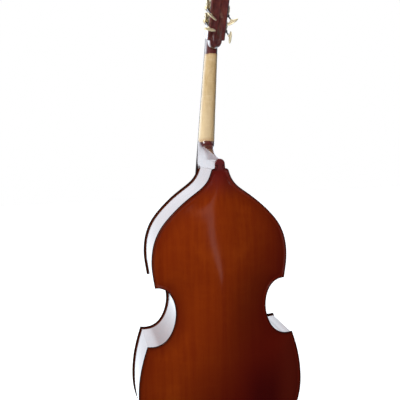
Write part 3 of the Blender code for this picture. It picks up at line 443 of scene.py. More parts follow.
def dress(obj, look, body, replaces=(), smooth=35):
    """Shading, material, body and replaced nodes of a finished piece."""
    mesh = obj.data
    mesh.shade_smooth()
    mesh.set_sharp_from_angle(angle=math.radians(smooth))
    mesh.materials.clear()
    mesh.materials.append(LOOKS[look])
    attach(obj, body)
    if replaces:
        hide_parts(*replaces)
    return obj


def bake_modifiers(obj):
    """Replace the mesh by its evaluated copy and drop the modifiers."""
    graph = bpy.context.evaluated_depsgraph_get()
    mesh = bpy.data.meshes.new_from_object(obj.evaluated_get(graph))
    obj.modifiers.clear()
    obj.data = mesh


def raw(shape, name):
    """Object of the collected points and faces, with no looks yet."""
    mesh = bpy.data.meshes.new(name)
    mesh.from_pydata(shape.points, [], shape.faces)
    bm = bmesh.new()
    bm.from_mesh(mesh)
    bmesh.ops.recalc_face_normals(bm, faces=bm.faces)
    bm.to_mesh(mesh)
    bm.free()
    obj = bpy.data.objects.new(name, mesh)
    bpy.context.scene.collection.objects.link(obj)
    return obj


def carve(obj, tools):
    """Apply Booleans of (shape, operation) one after another."""
    for index, (shape, operation) in enumerate(tools):
        tool = raw(shape, obj.name + "_tool_" + str(index))
        modifier = obj.modifiers.new("carve", "BOOLEAN")
        modifier.operation = operation
        modifier.solver = "EXACT"
        modifier.object = tool
        bake_modifiers(obj)
        bpy.data.objects.remove(tool, do_unlink=True)
    return obj


def drill(radius, low, high, centre, axis, u, sides):
    """Tool that cuts a round hole along an axis, from low to high."""
    return Shape().turned(((low, radius), (high, radius)), centre, axis, u, sides), "DIFFERENCE"


def both_halves(right, closed=False):
    """Both sides of a symmetric line from its right half. Closed: both ends are in the middle."""
    return right + [(-x, other) for x, other in right[-2:0 if closed else None:-1]]


def around(count):
    """Even angles round a circle."""
    return np.linspace(0, 2 * math.pi, count + 1)[:-1]


def flat_circle(x, y, radius, sides):
    return [(x + radius * math.cos(t), y + radius * math.sin(t)) for t in around(sides)]


def soft(value, power):
    """Power of a sine or cosine that keeps its sign, for rounded squares."""
    return math.copysign(abs(value) ** power, value)


def flat_lifts(*levels):
    """Surfaces of a slab that is flat on both sides."""
    return tuple(lambda flat, level=level: np.full(len(flat), level) for level in levels)


def circle(centre, radius, u, v, sides):
    angles = [2 * math.pi * i / sides for i in range(sides)]
    return [centre + radius * (math.cos(a) * u + math.sin(a) * v) for a in angles]


def smooth_line(points, steps, closed=False):
    """Catmull-Rom curve through points, as an array."""
    points = np.asarray(points, float)
    if closed:
        padded = np.vstack([points[-1:], points, points[:2]])
    else:
        padded = np.vstack([2 * points[:1] - points[1:2], points, 2 * points[-1:] - points[-2:-1]])
    t = (np.arange(steps) / steps)[:, None]
    pieces = []
    for p0, p1, p2, p3 in zip(padded, padded[1:], padded[2:], padded[3:]):
        pieces.append(0.5 * (2 * p1 + (p2 - p0) * t + (2 * p0 - 5 * p1 + 4 * p2 - p3) * t ** 2
            + (3 * p1 - p0 - 3 * p2 + p3) * t ** 3))
    if not closed:
        pieces.append(points[-1:])
    return np.vstack(pieces)


def inset_loop(loop, distance):
    """Closed loop moved inwards (left of travel for clockwise loops), with mitred corners."""
    along = np.roll(loop, -1, axis=0) - loop
    along /= np.linalg.norm(along, axis=1)[:, None]
    normal = np.stack([along[:, 1], -along[:, 0]], axis=1)
    before = np.roll(normal, 1, axis=0)
    return loop + distance * (before + normal) / (1 + (before * normal).sum(axis=1))[:, None]


def clockwise(loop):
    loop = np.asarray(loop, float)
    x, y = loop[:, 0], loop[:, 1]
    area = (x * np.roll(y, -1) - np.roll(x, -1) * y).sum()
    return loop if area < 0 else loop[::-1]


def inside(points, loop):
    x, y = points[:, 0], points[:, 1]
    result = np.zeros(len(points), bool)
    for (x0, y0), (x1, y1) in zip(loop, np.roll(loop, -1, axis=0)):
        crosses = (y0 > y) != (y1 > y)
        if y0 != y1:
            result ^= crosses & (x < (x1 - x0) * (y - y0) / (y1 - y0) + x0)
    return result


def triangulate(loops, extra):
    """Flat points and triangles over an outline with holes."""
    points = [Vector(p) for loop in loops for p in loop] + [Vector(p) for p in extra]
    edges, start = [], 0
    for loop in loops:
        edges += [(start + i, start + (i + 1) % len(loop)) for i in range(len(loop))]
        start += len(loop)
    flat, _, triangles, original, *_ = delaunay_2d_cdt(points, edges, [], 0, 1e-7)
    flat = np.array([tuple(p) for p in flat])
    triangles = np.array(triangles)
    middles = flat[triangles].mean(axis=1)
    keep = inside(middles, np.asarray(loops[0]))
    for hole in loops[1:]:
        keep &= ~inside(middles, np.asarray(hole))
    where = {}
    for index, sources in enumerate(original):
        for source in sources:
            where.setdefault(source, index)
    return flat, triangles[keep], where


def slab(shape, loops, extra, lifts, place, edge):
    """Solid between two surfaces over a flat region, with a rounded edge round every loop."""
    loops = [clockwise(loops[0])] + [clockwise(hole)[::-1] for hole in loops[1:]]
    narrow = [inset_loop(loop, edge) for loop in loops]
    flat, triangles, where = triangulate(narrow, extra)
    used = sorted(set(triangles.ravel().tolist()))
    sides = []
    for lift, turn in zip(lifts, (1, -1)):
        level = lift(flat)
        index = {i: len(shape.points) + n for n, i in enumerate(used)}
        shape.points += [Vector(place(*flat[i], level[i])) for i in used]
        shape.faces += [tuple(index[i] for i in triangle[::turn])
            for triangle in triangles.tolist()]
        sides.append(index)
    start = 0
    for loop, inner in zip(loops, narrow):
        count = len(loop)
        low, high = lifts[0](inner), lifts[1](inner)
        rows = [[sides[0][where[start + i]] for i in range(count)]]
        for step in range(1, 6):
            angle = math.pi * step / 6
            ring = inner + (loop - inner) * math.sin(angle)
            level = (low + high) / 2 + (low - high) / 2 * math.cos(angle)
            rows.append([len(shape.points) + i for i in range(count)])
            shape.points += [Vector(place(*p, y)) for p, y in zip(ring, level)]
        rows.append([sides[1][where[start + i]] for i in range(count)])
        for below, above in zip(rows, rows[1:]):
            for i in range(count):
                j = (i + 1) % count
                shape.faces.append((below[i], below[j], above[j], above[i]))
        start += count
    return shape


def tube(shape, points, radius, sides=12):
    """Round bar along a line. Returns each point's distance along it, and its length."""
    points = [Vector(p) for p in points]
    directions = [(b - a).normalized() for a, b in zip(points, points[1:])]
    directions = ([directions[0]] + [(a + b).normalized() for a, b in zip(directions,
        directions[1:])] + [directions[-1]])
    u = directions[0].orthogonal().normalized()
    rings, along, distance = [], [], 0.0
    for index, (point, direction) in enumerate(zip(points, directions)):
        u = (u - direction * u.dot(direction)).normalized()
        if index:
            distance += (point - points[index - 1]).length
        rings.append(circle(point, radius, u, direction.cross(u), sides))
        along += [distance] * sides
    shape.loft(rings)
    return along, distance


def paint(obj, name, values):
    layer = obj.data.attributes.new(name, "FLOAT", "POINT")
    layer.data.foreach_set("value", np.asarray(values, np.float32))


# ---------------------------------------------------------------- body

def bezier(p0, p1, p2, p3, steps):
    t = np.arange(steps)[:, None] / steps
    p0, p1, p2, p3 = (np.array(p) for p in (p0, p1, p2, p3))
    return (1 - t) ** 3 * p0 + 3 * (1 - t) ** 2 * t * p1 + 3 * (1 - t) * t * t * p2 + t ** 3 * p3


def half_outline():
    """Right half of the body's outline and the indices of its two corners."""
    upper_corner, lower_corner = (0.2455, 0.697), (0.279, 0.4825)
    pieces = [
        bezier((0.0, BODY_TOP), (0.005, BODY_TOP), (0.015, BODY_TOP), (0.020, BODY_TOP), 3),
        bezier((0.020, BODY_TOP), (0.028, BODY_TOP), (0.0317, 1.1125), (0.0335, 1.106), 5),
        bezier((0.0335, 1.106), (0.0534, 1.035), (0.0995, 1.045), (0.190, 0.949), 34),
        bezier((0.190, 0.949), (0.231, 0.906), (0.255, 0.860), (0.255, 0.780), 26),
        bezier((0.255, 0.780), (0.255, 0.760), (0.2495, 0.727), upper_corner, 13),
        bezier(upper_corner, (0.195, 0.699), (0.172, 0.649), (0.172, 0.598), 20),
        bezier((0.172, 0.598), (0.172, 0.564), (0.1915, 0.464), lower_corner, 24),
        bezier(lower_corner, (0.2996, 0.423), (0.317, 0.364), (0.317, 0.281), 29),
        bezier((0.317, 0.281), (0.317, 0.120), (0.190, 0.0), (0.0, 0.0), 62),
        [(0.0, 0.0)],
    ]
    counts = np.cumsum([len(piece) for piece in pieces])
    return np.vstack(pieces) + np.array((0.0, BODY_BOTTOM)), int(counts[4]), int(counts[6])


HALF, UPPER_CORNER, LOWER_CORNER = half_outline()
OUTLINE = np.vstack([HALF, (HALF * (-1, 1))[-2:0:-1]])


def edge_distance(points):
    """Smooth distance to the outline: an inverse-cube average over all its edges."""
    total = np.zeros(len(points))
    for start, end in zip(OUTLINE, np.roll(OUTLINE, -1, axis=0)):
        length = np.linalg.norm(end - start)
        along = (end - start) / length
        reach = (points - start) @ along
        rest = reach - length
        off2 = ((points - start) ** 2).sum(axis=1) - reach ** 2 + 1e-8
        total += (reach / np.sqrt(off2 + reach ** 2) - rest / np.sqrt(off2 + rest ** 2)) / off2
    return np.sqrt(2 / np.abs(total))


def true_distance(points, loop):
    """Shortest distance from each point to a closed loop."""
    best = np.full(len(points), 1e9)
    for start, end in zip(loop, np.roll(loop, -1, axis=0)):
        line = end - start
        share = np.clip(((points - start) @ line) / (line @ line), 0, 1)
        best = np.minimum(best, np.linalg.norm(points - start - share[:, None] * line, axis=1))
    return best


CENTRE_LEVELS = np.linspace(BODY_BOTTOM - 0.01, BODY_BOTTOM + BODY_TOP + 0.08, 260)
CENTRE_REACH = edge_distance(np.stack([np.zeros(260), CENTRE_LEVELS], axis=1))


def arch(points, near):
    """Height of the arching over the flat rim, 0 to 1."""
    level = np.clip((points[:, 1] - BODY_BOTTOM - FLAT_EDGE) / (BODY_TOP - 2 * FLAT_EDGE), 0, 1)
    long_arch = 1 - np.abs(2 * level - 1) ** LONG_ARCH_POWER
    far = np.maximum(np.interp(points[:, 1], CENTRE_LEVELS, CENTRE_REACH) - FLAT_EDGE, 0.001)
    return long_arch * np.clip(np.maximum(near - FLAT_EDGE, 0) / far, 0, 1) ** CROSS_ARCH_POWER


def surfaces(points):
    """Outer and inner height of a plate over its rim, with a shallow channel beside the edge."""
    near = edge_distance(points)
    rise = arch(points, near)
    channel = CHANNEL_DEPTH * np.exp(-((near - CHANNEL_PLACE) / CHANNEL_WIDTH) ** 2)
    return ARCH * rise - channel, (ARCH + RIM - CENTRE) * rise - RIM


def plate_normals(points, facing):
    """Exact normals of the outer surface."""
    step = 0.0008
    heights = [surfaces(points + shift)[0] for shift in ((step, 0), (-step, 0),
        (0, step), (0, -step))]
    slope_x = (heights[0] - heights[1]) / (2 * step)
    slope_z = (heights[2] - heights[3]) / (2 * step)
    normals = np.stack([-slope_x, np.ones(len(points)), -slope_z], axis=1) * (1, facing, 1)
    return normals / np.linalg.norm(normals, axis=1)[:, None]


def plate_points(outline, holes):
    """Inner points of a plate: rings beside its edge, then an even grid."""
    chosen = []
    outline = clockwise(outline)
    for distance in (0.0054, 0.0070, 0.0090, 0.0120, 0.0155, 0.0200, 0.0250, 0.0310):
        ring = inset_loop(outline, distance)
        kept = inside(ring, outline) & (true_distance(ring, outline) > 0.94 * distance)
        chosen.append(ring[kept])
    spacing = 0.0105
    rows = np.arange(BODY_BOTTOM, BODY_BOTTOM + BODY_TOP + 0.04, spacing * 0.87)
    grid = np.array([(spacing * (i + 0.5 * (r % 2)), z) for r, z in enumerate(rows)
        for i in range(-32, 33)])
    grid = grid[inside(grid, outline)]
    chosen.append(grid[true_distance(grid, outline) > 0.036])
    points = np.vstack(chosen)
    for hole in holes:
        points = points[~inside(points, hole)]
        points = points[true_distance(points, hole) > 0.004]
        points = np.vstack([points, inset_loop(clockwise(hole), -0.0045)[::2]])
    return points


def arched_plate(name, outline, holes, rim_level, facing, look, slot, node):
    """Carved plate with a rounded edge. Facing is +1 for the back and -1 for the top."""
    shape = Shape()
    lifts = [lambda flat, face=face: rim_level + facing * surfaces(flat)[face] for face in (0, 1)]
    slab(shape, [outline, *holes], plate_points(outline, holes), lifts,
         lambda x, z, y: (x, y, z), EDGE_ROUNDING)
    obj = shape.make(name, look, "bass", slot, (node,), smooth=50)
    co = np.array([tuple(v.co) for v in obj.data.vertices])
    flat = co[:, (0, 2)]
    rim = true_distance(flat, OUTLINE) * np.where(inside(flat, OUTLINE), 1, 0.5) + 1e-6
    outer = np.abs(co[:, 1] - rim_level - facing * surfaces(flat)[0]) < 1e-5
    paint(obj, "rim", rim)
    normals = np.zeros_like(co)
    normals[outer] = plate_normals(flat[outer], facing)
    obj.data.normals_split_custom_set_from_vertices(normals.tolist())
    return obj


def f_hole(side):
    """Sound hole: a swaying slot with a round eye at each end and a nick at its middle."""
    half_length, lean, sway, centre_x = 0.088, -0.020, 0.012, 0.098
    slot, eye, eye_place = 0.0055, 0.0112, 0.84
    left, right = [], []
    for t in np.linspace(-0.996, 0.996, 57):
        x = centre_x + lean * t + sway * math.sin(math.pi * t)
        spine = np.array((x, BRIDGE_HEIGHT + 0.002 + half_length * t))
        slope = np.array((lean + sway * math.pi * math.cos(math.pi * t), half_length))
        across = np.array((slope[1], -slope[0])) / np.linalg.norm(slope)
        off = 0.8 * half_length * (abs(t) - eye_place)
        round_eye = math.sqrt(max(eye ** 2 - off ** 2, 0)) if abs(off) < eye else 0.0
        waist = slot * (1 - 0.25 * abs(t)) + 0.0028 * max(0, 1 - abs(t) / 0.05)
        width = max(round_eye, waist if abs(t) < eye_place else 0.0)
        left.append(spine - across * width)
        right.append(spine + across * width)
    return np.array(left + right[::-1]) * (side, 1)


def kept_run(loop, keep):
    """The kept stretch of a closed loop, in order from its first point."""
    first = int(np.argmax(keep))
    return np.roll(loop, -first, axis=0)[np.roll(keep, -first)]


def make_plates():
    """Carved back with its button, and the top with its sound holes and neck notch."""
    centre = BODY_BOTTOM + BUTTON_CENTRE
    angles = np.radians(np.linspace(180, 0, 19))
    round_end = BUTTON_RADIUS * np.stack([np.cos(angles), np.sin(angles)], axis=1)
    button = round_end + (0, centre)
    keep = np.abs(OUTLINE[:, 0]) > BUTTON_RADIUS + 0.001
    keep |= OUTLINE[:, 1] < centre - 0.1
    rest = kept_run(OUTLINE, keep)
    arched_plate("carved_back", np.vstack([button, rest]), [], RIM_BACK, 1, "back",
                 "varnished_maple", "back_plate")
    notch = TOP_NOTCH_HALF
    keep = (np.abs(OUTLINE[:, 0]) > notch + 0.002) | (OUTLINE[:, 1] < centre - 0.1)
    rest = kept_run(inset_loop(OUTLINE, -TOP_OUTSET), keep)
    shoulder = rest[0][1] + 0.006
    cut = [(-notch, shoulder), (-notch, ROOT_BOTTOM - GAP), (notch, ROOT_BOTTOM - GAP),
           (notch, shoulder)]
    holes = [f_hole(side) for side in (-1, 1)]
    arched_plate("carved_top", np.vstack([cut, rest]), holes, RIM_FRONT, -1, "top",
                 "varnished_spruce", "top_plate")


def mortise_half(y):
    share = (y - ROOT_FRONT) / (RIM_BACK - RIM - ROOT_FRONT)
    return ROOT_HALF[0] + (ROOT_HALF[1] - ROOT_HALF[0]) * share


def make_ribs():
    """Six bent ribs between the plates."""
    outer, inner = inset_loop(OUTLINE, OVERHANG), inset_loop(OUTLINE, OVERHANG + RIB)
    levels = (RIM_FRONT + RIM + GAP, RIM_BACK - RIM - GAP)
    runs = {"upper": (0, UPPER_CORNER), "centre": (UPPER_CORNER, LOWER_CORNER),
            "lower": (LOWER_CORNER, len(HALF) - 1)}
    for side, sign in (("right", 1), ("left", -1)):
        for bout, (first, last) in runs.items():
            rings = []
            for index in range(first, last + 1):
                (xo, zo), (xi, zi) = outer[index] * (sign, 1), inner[index] * (sign, 1)
                if abs(xo) < 0.0004:
                    xo = xi = sign * 0.0004
                rings.append([(xo, y, zo) for y in np.linspace(*levels, 9)] + [(xi, y, zi)
                    for y in reversed(levels)])
            tools = []
            if bout == "upper":
                ends = (ROOT_FRONT - 0.03, RIM_BACK - RIM)
                flat = [Vector((edge * (mortise_half(y) + GAP), y, ROOT_BOTTOM - GAP))
                        for edge, y in ((-1, ends[0]), (1, ends[0]), (1, ends[1]), (-1, ends[1]))]
                tools.append((Shape().loft([flat, [p + Vector((0, 0, 0.1)) for p in flat]]),
                    "DIFFERENCE"))
            if bout == "lower":
                tools.append(drill(PLUG_HOLE_RADIUS, 0.2, 0.32, (0, 0, 0), UP, SIDE, 40))
            name = bout + "_rib_" + side
            obj = carve(raw(Shape().loft(rings), "bent_" + name), tools)
            dress(obj, "ribs", "bass", (name,), 35)


# ---------------------------------------------------------------- neck, pegbox and scroll

def board_point(down, rise=0.0):
    return NUT_EDGE - NECK_UP * down - NECK_BACK * rise


def board_half(down):
    return BOARD_HALF[0] + (BOARD_HALF[1] - BOARD_HALF[0]) * down / BOARD_LENGTH


def board_crown(down, x):
    crown = BOARD_CROWN[0] + (BOARD_CROWN[1] - BOARD_CROWN[0]) * down / BOARD_LENGTH
    return crown * (1 - (x / board_half(down)) ** 2)


def neck_front(down):
    return board_point(down, -BOARD_EDGE - GAP)


PEG_ORIGIN = neck_front(-NUT_LENGTH - 0.0005)


def peg_point(along, depth, x=0.0):
    return PEG_ORIGIN + PEG_A * along + PEG_B * depth + SIDE * x


def neck_ring(front, back, half, nose, roundness):
    """Section of the neck. Its back is round (1) or a nose with straight sides (0)."""
    right = []
    for i in range(15):
        angle = math.pi / 2 * i / 14
        round_x, round_d = math.cos(angle) ** 0.72, math.sin(angle) ** 0.72
        flat_d = 1 - (1 - min(i / 10, 1.0)) ** 1.7
        flat_x = min(half + (ROOT_HALF[1] - half) * flat_d, nose + 0.055 * (1 - flat_d))
        flat_x *= 1 if i <= 10 else (14 - i) / 4
        x = roundness * round_x * half + (1 - roundness) * flat_x
        depth = roundness * round_d + (1 - roundness) * flat_d
        right.append((x, front.lerp(back, depth)))
    return [point + SIDE * x for x, point in both_halves(right)]


def neck_shape():
    """Neck shaft, heel and root as one loft."""
    rows = []
    for down, depth in ((-0.010, 0.030), (0.02, 0.0297), (0.06, 0.0295), (0.16, 0.030),
            (0.26, 0.0315), (0.33, 0.0325), (0.365, 0.0335)):
        back = neck_front(down) + NECK_BACK * depth
        rows.append((down, back.y, back.z, board_half(down), 0.012, 1.0))
    for down, (y, z), narrow, roundness in (
            (0.395, (-0.052, 1.4225), 0.0150, 0.75), (0.420, (-0.018, 1.4110), 0.0110, 0.35),
            (0.438, (0.025, 1.3995), 0.0080, 0.15), (0.452, (0.080, 1.3860), 0.0040, 0.05)):
        rows.append((down, y, z, min(board_half(down), HEEL_HALF), narrow, roundness))
    fine = smooth_line(rows, 6)
    rings = []
    for down, y, z, half, back_half, roundness in fine:
        rings.append(neck_ring(neck_front(down), Vector((0, y, z)), half, back_half,
            min(roundness, 1.0)))
    top = BODY_BOTTOM + BUTTON_CENTRE
    for index, turn in enumerate(np.radians((84, 72, 58, 42, 24, 0))):
        down = 0.4595 + 0.0019 * index
        back = Vector((0, RIM_BACK - RIM - GAP, top + BUTTON_RADIUS * math.sin(turn)))
        rings.append(neck_ring(neck_front(down), back, HEEL_HALF,
            BUTTON_RADIUS * math.cos(turn), 0))
    for z in (1.348, ROOT_BOTTOM):
        front = neck_front((neck_front(0).z - z) / NECK_UP.z)
        rings.append(neck_ring(front, Vector((0, RIM_BACK - RIM - GAP, z)), mortise_half(front.y),
            ROOT_HALF[1], 0))
    return Shape().loft(rings[::-1])


PEGBOX_BACK = ((-0.02, 0.0655), (0.014, 0.066), (0.050, 0.0645), (0.100, 0.0620), (0.150, 0.0590),
    (0.185, 0.0545), (0.205, 0.0500), (0.225, 0.0460), (0.240, 0.0445))


def flute(share):
    """Depth of the hollow between a middle ridge (0) and an edge (1)."""
    return max(0.0, 1 - (2 * share - 1) ** 2) ** 0.8


def pegbox_shape():
    """Pegbox with rounded back corners, two flutes and a ridge down its back."""
    back_along, back_depth = zip(*PEGBOX_BACK)
    rings = []
    stations = [(0.0, 0.0016), (0.0006, 0.0006), (0.0016, 0.0)]
    stations += [(t, 0.0) for t in np.linspace(0.008, 0.224, 37)]
    for t, shrink in stations:
        depth = float(np.interp(t + 0.006, back_along, back_depth)) - shrink
        taper = min(max((t - 0.150) / 0.055, 0), 1)
        half = CHEEK - shrink - (CHEEK - 0.0175) * taper * taper * (3 - 2 * taper)
        lean = 0.014 * (1 - t / 0.21)
        wide = half + 0.0032 * (1 - taper)
        right = [(half - 0.0012, 0.0), (half, 0.0012), (half, depth - 0.0125),
                 (half + 0.3 * (wide - half), depth - 0.0095), (wide, depth - 0.0060),
                 (wide - 0.0006, depth - 0.0036), (wide - 0.0022, depth - 0.0016),
                 (wide - 0.0042, depth - 0.0006)]
        edge = wide - 0.0055
        right += [(edge * s, depth - 0.0026 * flute(s)) for s in np.linspace(1, 0, 11)]
        rings.append([peg_point(t + lean * max(b, 0) / depth, b, x) for x, b in both_halves(right)])
    return Shape().loft(rings)


def chin_shape():
    """Rounded chin behind the nut, with the ridge running round it."""
    corners = [(0.030, 0.030), (0.030, 0.0610), (0.012, 0.0655), (-0.004, 0.0655),
               (-0.0150, 0.0605), (-0.0222, 0.051), (-0.0240, 0.040), (-0.020, 0.028), (0.0, 0.012)]
    loop = clockwise(smooth_line(corners, 6, closed=True))
    rings = []
    shares = (0.14, 0.28, 0.42, 0.55, 0.68, 0.8, 0.89, 0.95, 0.985, 1)
    for share in [-s for s in shares[::-1]] + [0, *shares]:
        u = abs(share)
        pillow = 0.0055 * (1 - math.sqrt(max(0, 1 - (max(0, u - 0.6) / 0.4) ** 2)))
        ring = inset_loop(loop, 0.0018 * flute(min(u / 0.85, 1)) + pillow)
        lift = 0.015 * (1 - math.sqrt(max(0, 1 - u * u)))
        rings.append([peg_point(a + lift * min(max((0.014 - a) / 0.024, 0), 1), b, share * CHIN)
            for a, b in ring])
    return Shape().loft(rings)


def make_neck():
    """Carved neck, heel and pegbox in one, hollowed for the rollers."""
    obj = raw(neck_shape(), "carved_neck")
    tools = [(pegbox_shape(), "UNION"), (chin_shape(), "UNION")]
    slot = ((0.004, -0.02), (0.160, -0.02), (0.160, 0.028), (0.158, 0.034), (0.152, 0.0385),
            (0.09, 0.0450), (0.024, 0.0500), (0.017, 0.0470), (0.014, 0.040), (0.013, 0.018))
    walls = [[peg_point(a, b, x) for a, b in slot] for x in (-CAVITY, CAVITY)]
    tools.append((Shape().loft(walls), "DIFFERENCE"))
    for string in TUNERS:
        centre = peg_point(gear_along(string), GEAR_DEPTH)
        tools.append(drill(ROLLER_RADIUS + GAP, -0.035, 0.035, centre, SIDE, PEG_A, 28))
    carve(obj, tools)
    dress(obj, "neck", "bass", ("neck",), 38)
    make_scroll()


def make_scroll():
    """Volute: a fluted band that winds inwards and stands out further at each turn."""
    shape = Shape()
    turns, per_turn, outer, shrink = 2.15, 56, 0.045, 0.50
    start = math.radians(158)
    thin, flare = 0.0172, 0.0185
    centre = peg_point(SCROLL_ALONG, SCROLL_DEPTH)
    rings = []
    for k in range(int(turns * per_turn) + 1):
        turn = k / per_turn
        angle = start - 2 * math.pi * turn
        far = outer * shrink ** turn
        near = outer * shrink ** (turn + 1) - 0.0015
        half = thin + flare * (turn / turns) ** 0.85
        way = math.cos(angle) * PEG_A + math.sin(angle) * PEG_B
        lip = min(0.0022, 0.2 * (far - near))
        right = [(half - 0.0010, near), (half - 0.0016, (near + far) / 2), (half, far - lip),
                 (half - 0.0012, far)]
        edge = half - 0.0030
        right += [(edge * s, far - min(0.0024, 0.15 * far) * flute(s))
                  for s in np.linspace(1, 0, 8)]
        rings.append([centre + SIDE * x + way * r for x, r in both_halves(right)])
    shape.loft(rings)
    half = thin + flare
    eye = ((-half - 0.0012, 0.0065), (-half - 0.0006, 0.0088), (-half + 0.0008, 0.0098),
           (half - 0.0008, 0.0098), (half + 0.0006, 0.0088), (half + 0.0012, 0.0065))
    shape.turned(eye, centre, SIDE, PEG_A, 40)
    throat = []
    for t, half, low, high in ((0.190, 0.0180, 0.0, 0.0390), (0.200, 0.0172, -0.004, 0.034),
            (0.212, 0.0165, -0.012, 0.028), (0.224, 0.0160, -0.018, 0.020)):
        throat.append([peg_point(t, b, x) for x, b in ((half, low), (half, high),
            (-half, high), (-half, low))])
    shape.loft(throat)
    shape.make("carved_scroll", "neck", "bass", "neck_maple", (), 38)


def make_board():
    """Fingerboard and nut."""
    rings = []
    stations = [(GAP, 0.0006), (0.0010, 0.0)]
    stations += [(d, 0.0) for d in np.linspace(0.02, BOARD_LENGTH - 0.002, 44)]
    stations += [(BOARD_LENGTH - 0.0006, 0.0007), (BOARD_LENGTH, 0.0018)]
    for down, shrink in stations:
        half = board_half(down) - shrink
        right = [(half - 0.0010, -BOARD_EDGE + shrink), (half, -BOARD_EDGE + 0.0010 + shrink),
                 (half, -0.0010 - shrink), (half - 0.0005, -0.0002 - shrink)]
        right += [(half * s, board_crown(down, half * s) - shrink)
                  for s in np.linspace(0.95, 0, 12)]
        rings.append([board_point(down, rise) + SIDE * x for x, rise in both_halves(right)])
    Shape().loft(rings).make("ebony_board", "ebony", "bass", "ebony", ("fingerboard",), 30)
    rings = []
    for down, lift, shrink in ((0.0, NUT_LIFT - 0.0006, 0.0006), (-0.0006, NUT_LIFT, 0.0),
            (-0.0045, NUT_LIFT, 0.0), (-0.0062, NUT_LIFT - 0.0015, 0.0), (-0.0080, -0.0028, 0.0),
            (-NUT_LENGTH + 0.0003, -0.0048, 0.0006)):
        half = board_half(down) - shrink
        right = [(half, -BOARD_EDGE), (half, lift - 0.001), (half - 0.0006, lift - 0.0002)]
        right += [(half * s, board_crown(down, half * s) + lift) for s in np.linspace(0.94, 0, 12)]
        rings.append([board_point(down, rise) + SIDE * x for x, rise in both_halves(right)])
    Shape().loft(rings).make("ebony_nut", "ebony", "bass", "ebony", ("nut",), 30)


# ---------------------------------------------------------------- tuning machines

def gear_along(string):
    return TUNERS[string][1] + GEAR_RADIUS + WORM_RADIUS


PITCH = 2 * math.pi * GEAR_RADIUS / GEAR_TEETH
LEAD = PITCH / (2 * math.pi * WORM_RADIUS)


def screw_mesh():
    """Slotted round-headed screw, head up +Z, used again and again."""
    head = ((-0.004, 0.0014), (-0.0001, 0.0014), (0.0, 0.0026), (0.0003, 0.0028), (0.0008, 0.0026),
            (0.0012, 0.0020), (0.00145, 0.0012), (0.0015, 0.0002))
    obj = raw(Shape().turned(head, (0, 0, 0), UP, SIDE, 24), "screw_pattern")
    slot = [Vector((x, y, 0.0008)) for x, y in ((-0.004, -0.0003), (0.004, -0.0003),
        (0.004, 0.0003), (-0.004, 0.0003))]
    carve(obj, [(Shape().loft([slot, [p + Vector((0, 0, 0.004)) for p in slot]]), "DIFFERENCE")])
    points = [v.co.copy() for v in obj.data.vertices]
    faces = [tuple(p.vertices) for p in obj.data.polygons]
    bpy.data.objects.remove(obj, do_unlink=True)
    return points, faces


SCREW_POINTS, SCREW_FACES = screw_mesh()


def add_screw(shape, place, axis, turn):
    """A copy of the screw with its head along an axis."""
    rotation = axis.to_track_quat("Z", "Y").to_matrix() @ Matrix.Rotation(turn, 3, "Z")
    start = len(shape.points)
    shape.points += [rotation @ p + place for p in SCREW_POINTS]
    shape.faces += [tuple(start + i for i in face) for face in SCREW_FACES]


def make_tuner_plate(string):
    """Scalloped cheek plate with bevelled edge, two bearings for the worm shaft, and its screws."""
    side, along, _ = TUNERS[string]
    mid_a, mid_b = along + 0.0125, 0.0275
    quarter = [(0.0275, 0.0), (0.0248, 0.0040), (0.0205, 0.0080), (0.0205, 0.0130),
               (0.0170, 0.0168), (0.0110, 0.0158), (0.0060, 0.0150)]
    upper = quarter + [(0.0, 0.0172)] + [(-a, b) for a, b in quarter[::-1]]
    corners = upper + [(a, -b) for a, b in upper[-2:0:-1]]
    loop = smooth_line(corners, 4, closed=True) + (mid_a, mid_b)
    hole = flat_circle(gear_along(string), GEAR_DEPTH, HUB_HOLE, 32)
    shape = slab(Shape(), [loop, hole], [], flat_lifts(*PLATE),
                 lambda a, b, x: peg_point(a, b, side * x), 0.0004)
    for depth in WORM_BEARINGS:
        lug = [(-0.0085, 0.0300), (0.0085, 0.0300), (0.0080, 0.0312), (0.0064, 0.0330),
               (0.0056, 0.0370)]
        lug += [(0.0056 * math.cos(t), WORM_X + 0.0056 * math.sin(t))
                for t in np.linspace(0, math.pi, 15)]
        lug += [(-0.0056, 0.0370), (-0.0064, 0.0330), (-0.0080, 0.0312)]
        eye = flat_circle(0.0, WORM_X, 0.0036, 20)
        slab(shape, [lug, eye], [], flat_lifts(depth - 0.0020, depth + 0.0020),
             lambda a, x, b: peg_point(along + a, b, side * x), 0.0005)
    shape.make("plate_" + string, "brass", "bass", "brass", ("tuner_plate_" + string,))
    screws = Shape()
    for index, (a, b) in enumerate(((0.0235, 0.0), (-0.0235, 0.0), (0.0165, 0.0125),
            (0.0165, -0.0125), (-0.0005, -0.0140))):
        spot = peg_point(mid_a + a, mid_b + b, side * PLATE[1])
        add_screw(screws, spot, SIDE * side, 0.7 + 1.3 * index)
    screws.make("screws_" + string, "steel", "bass", "steel")


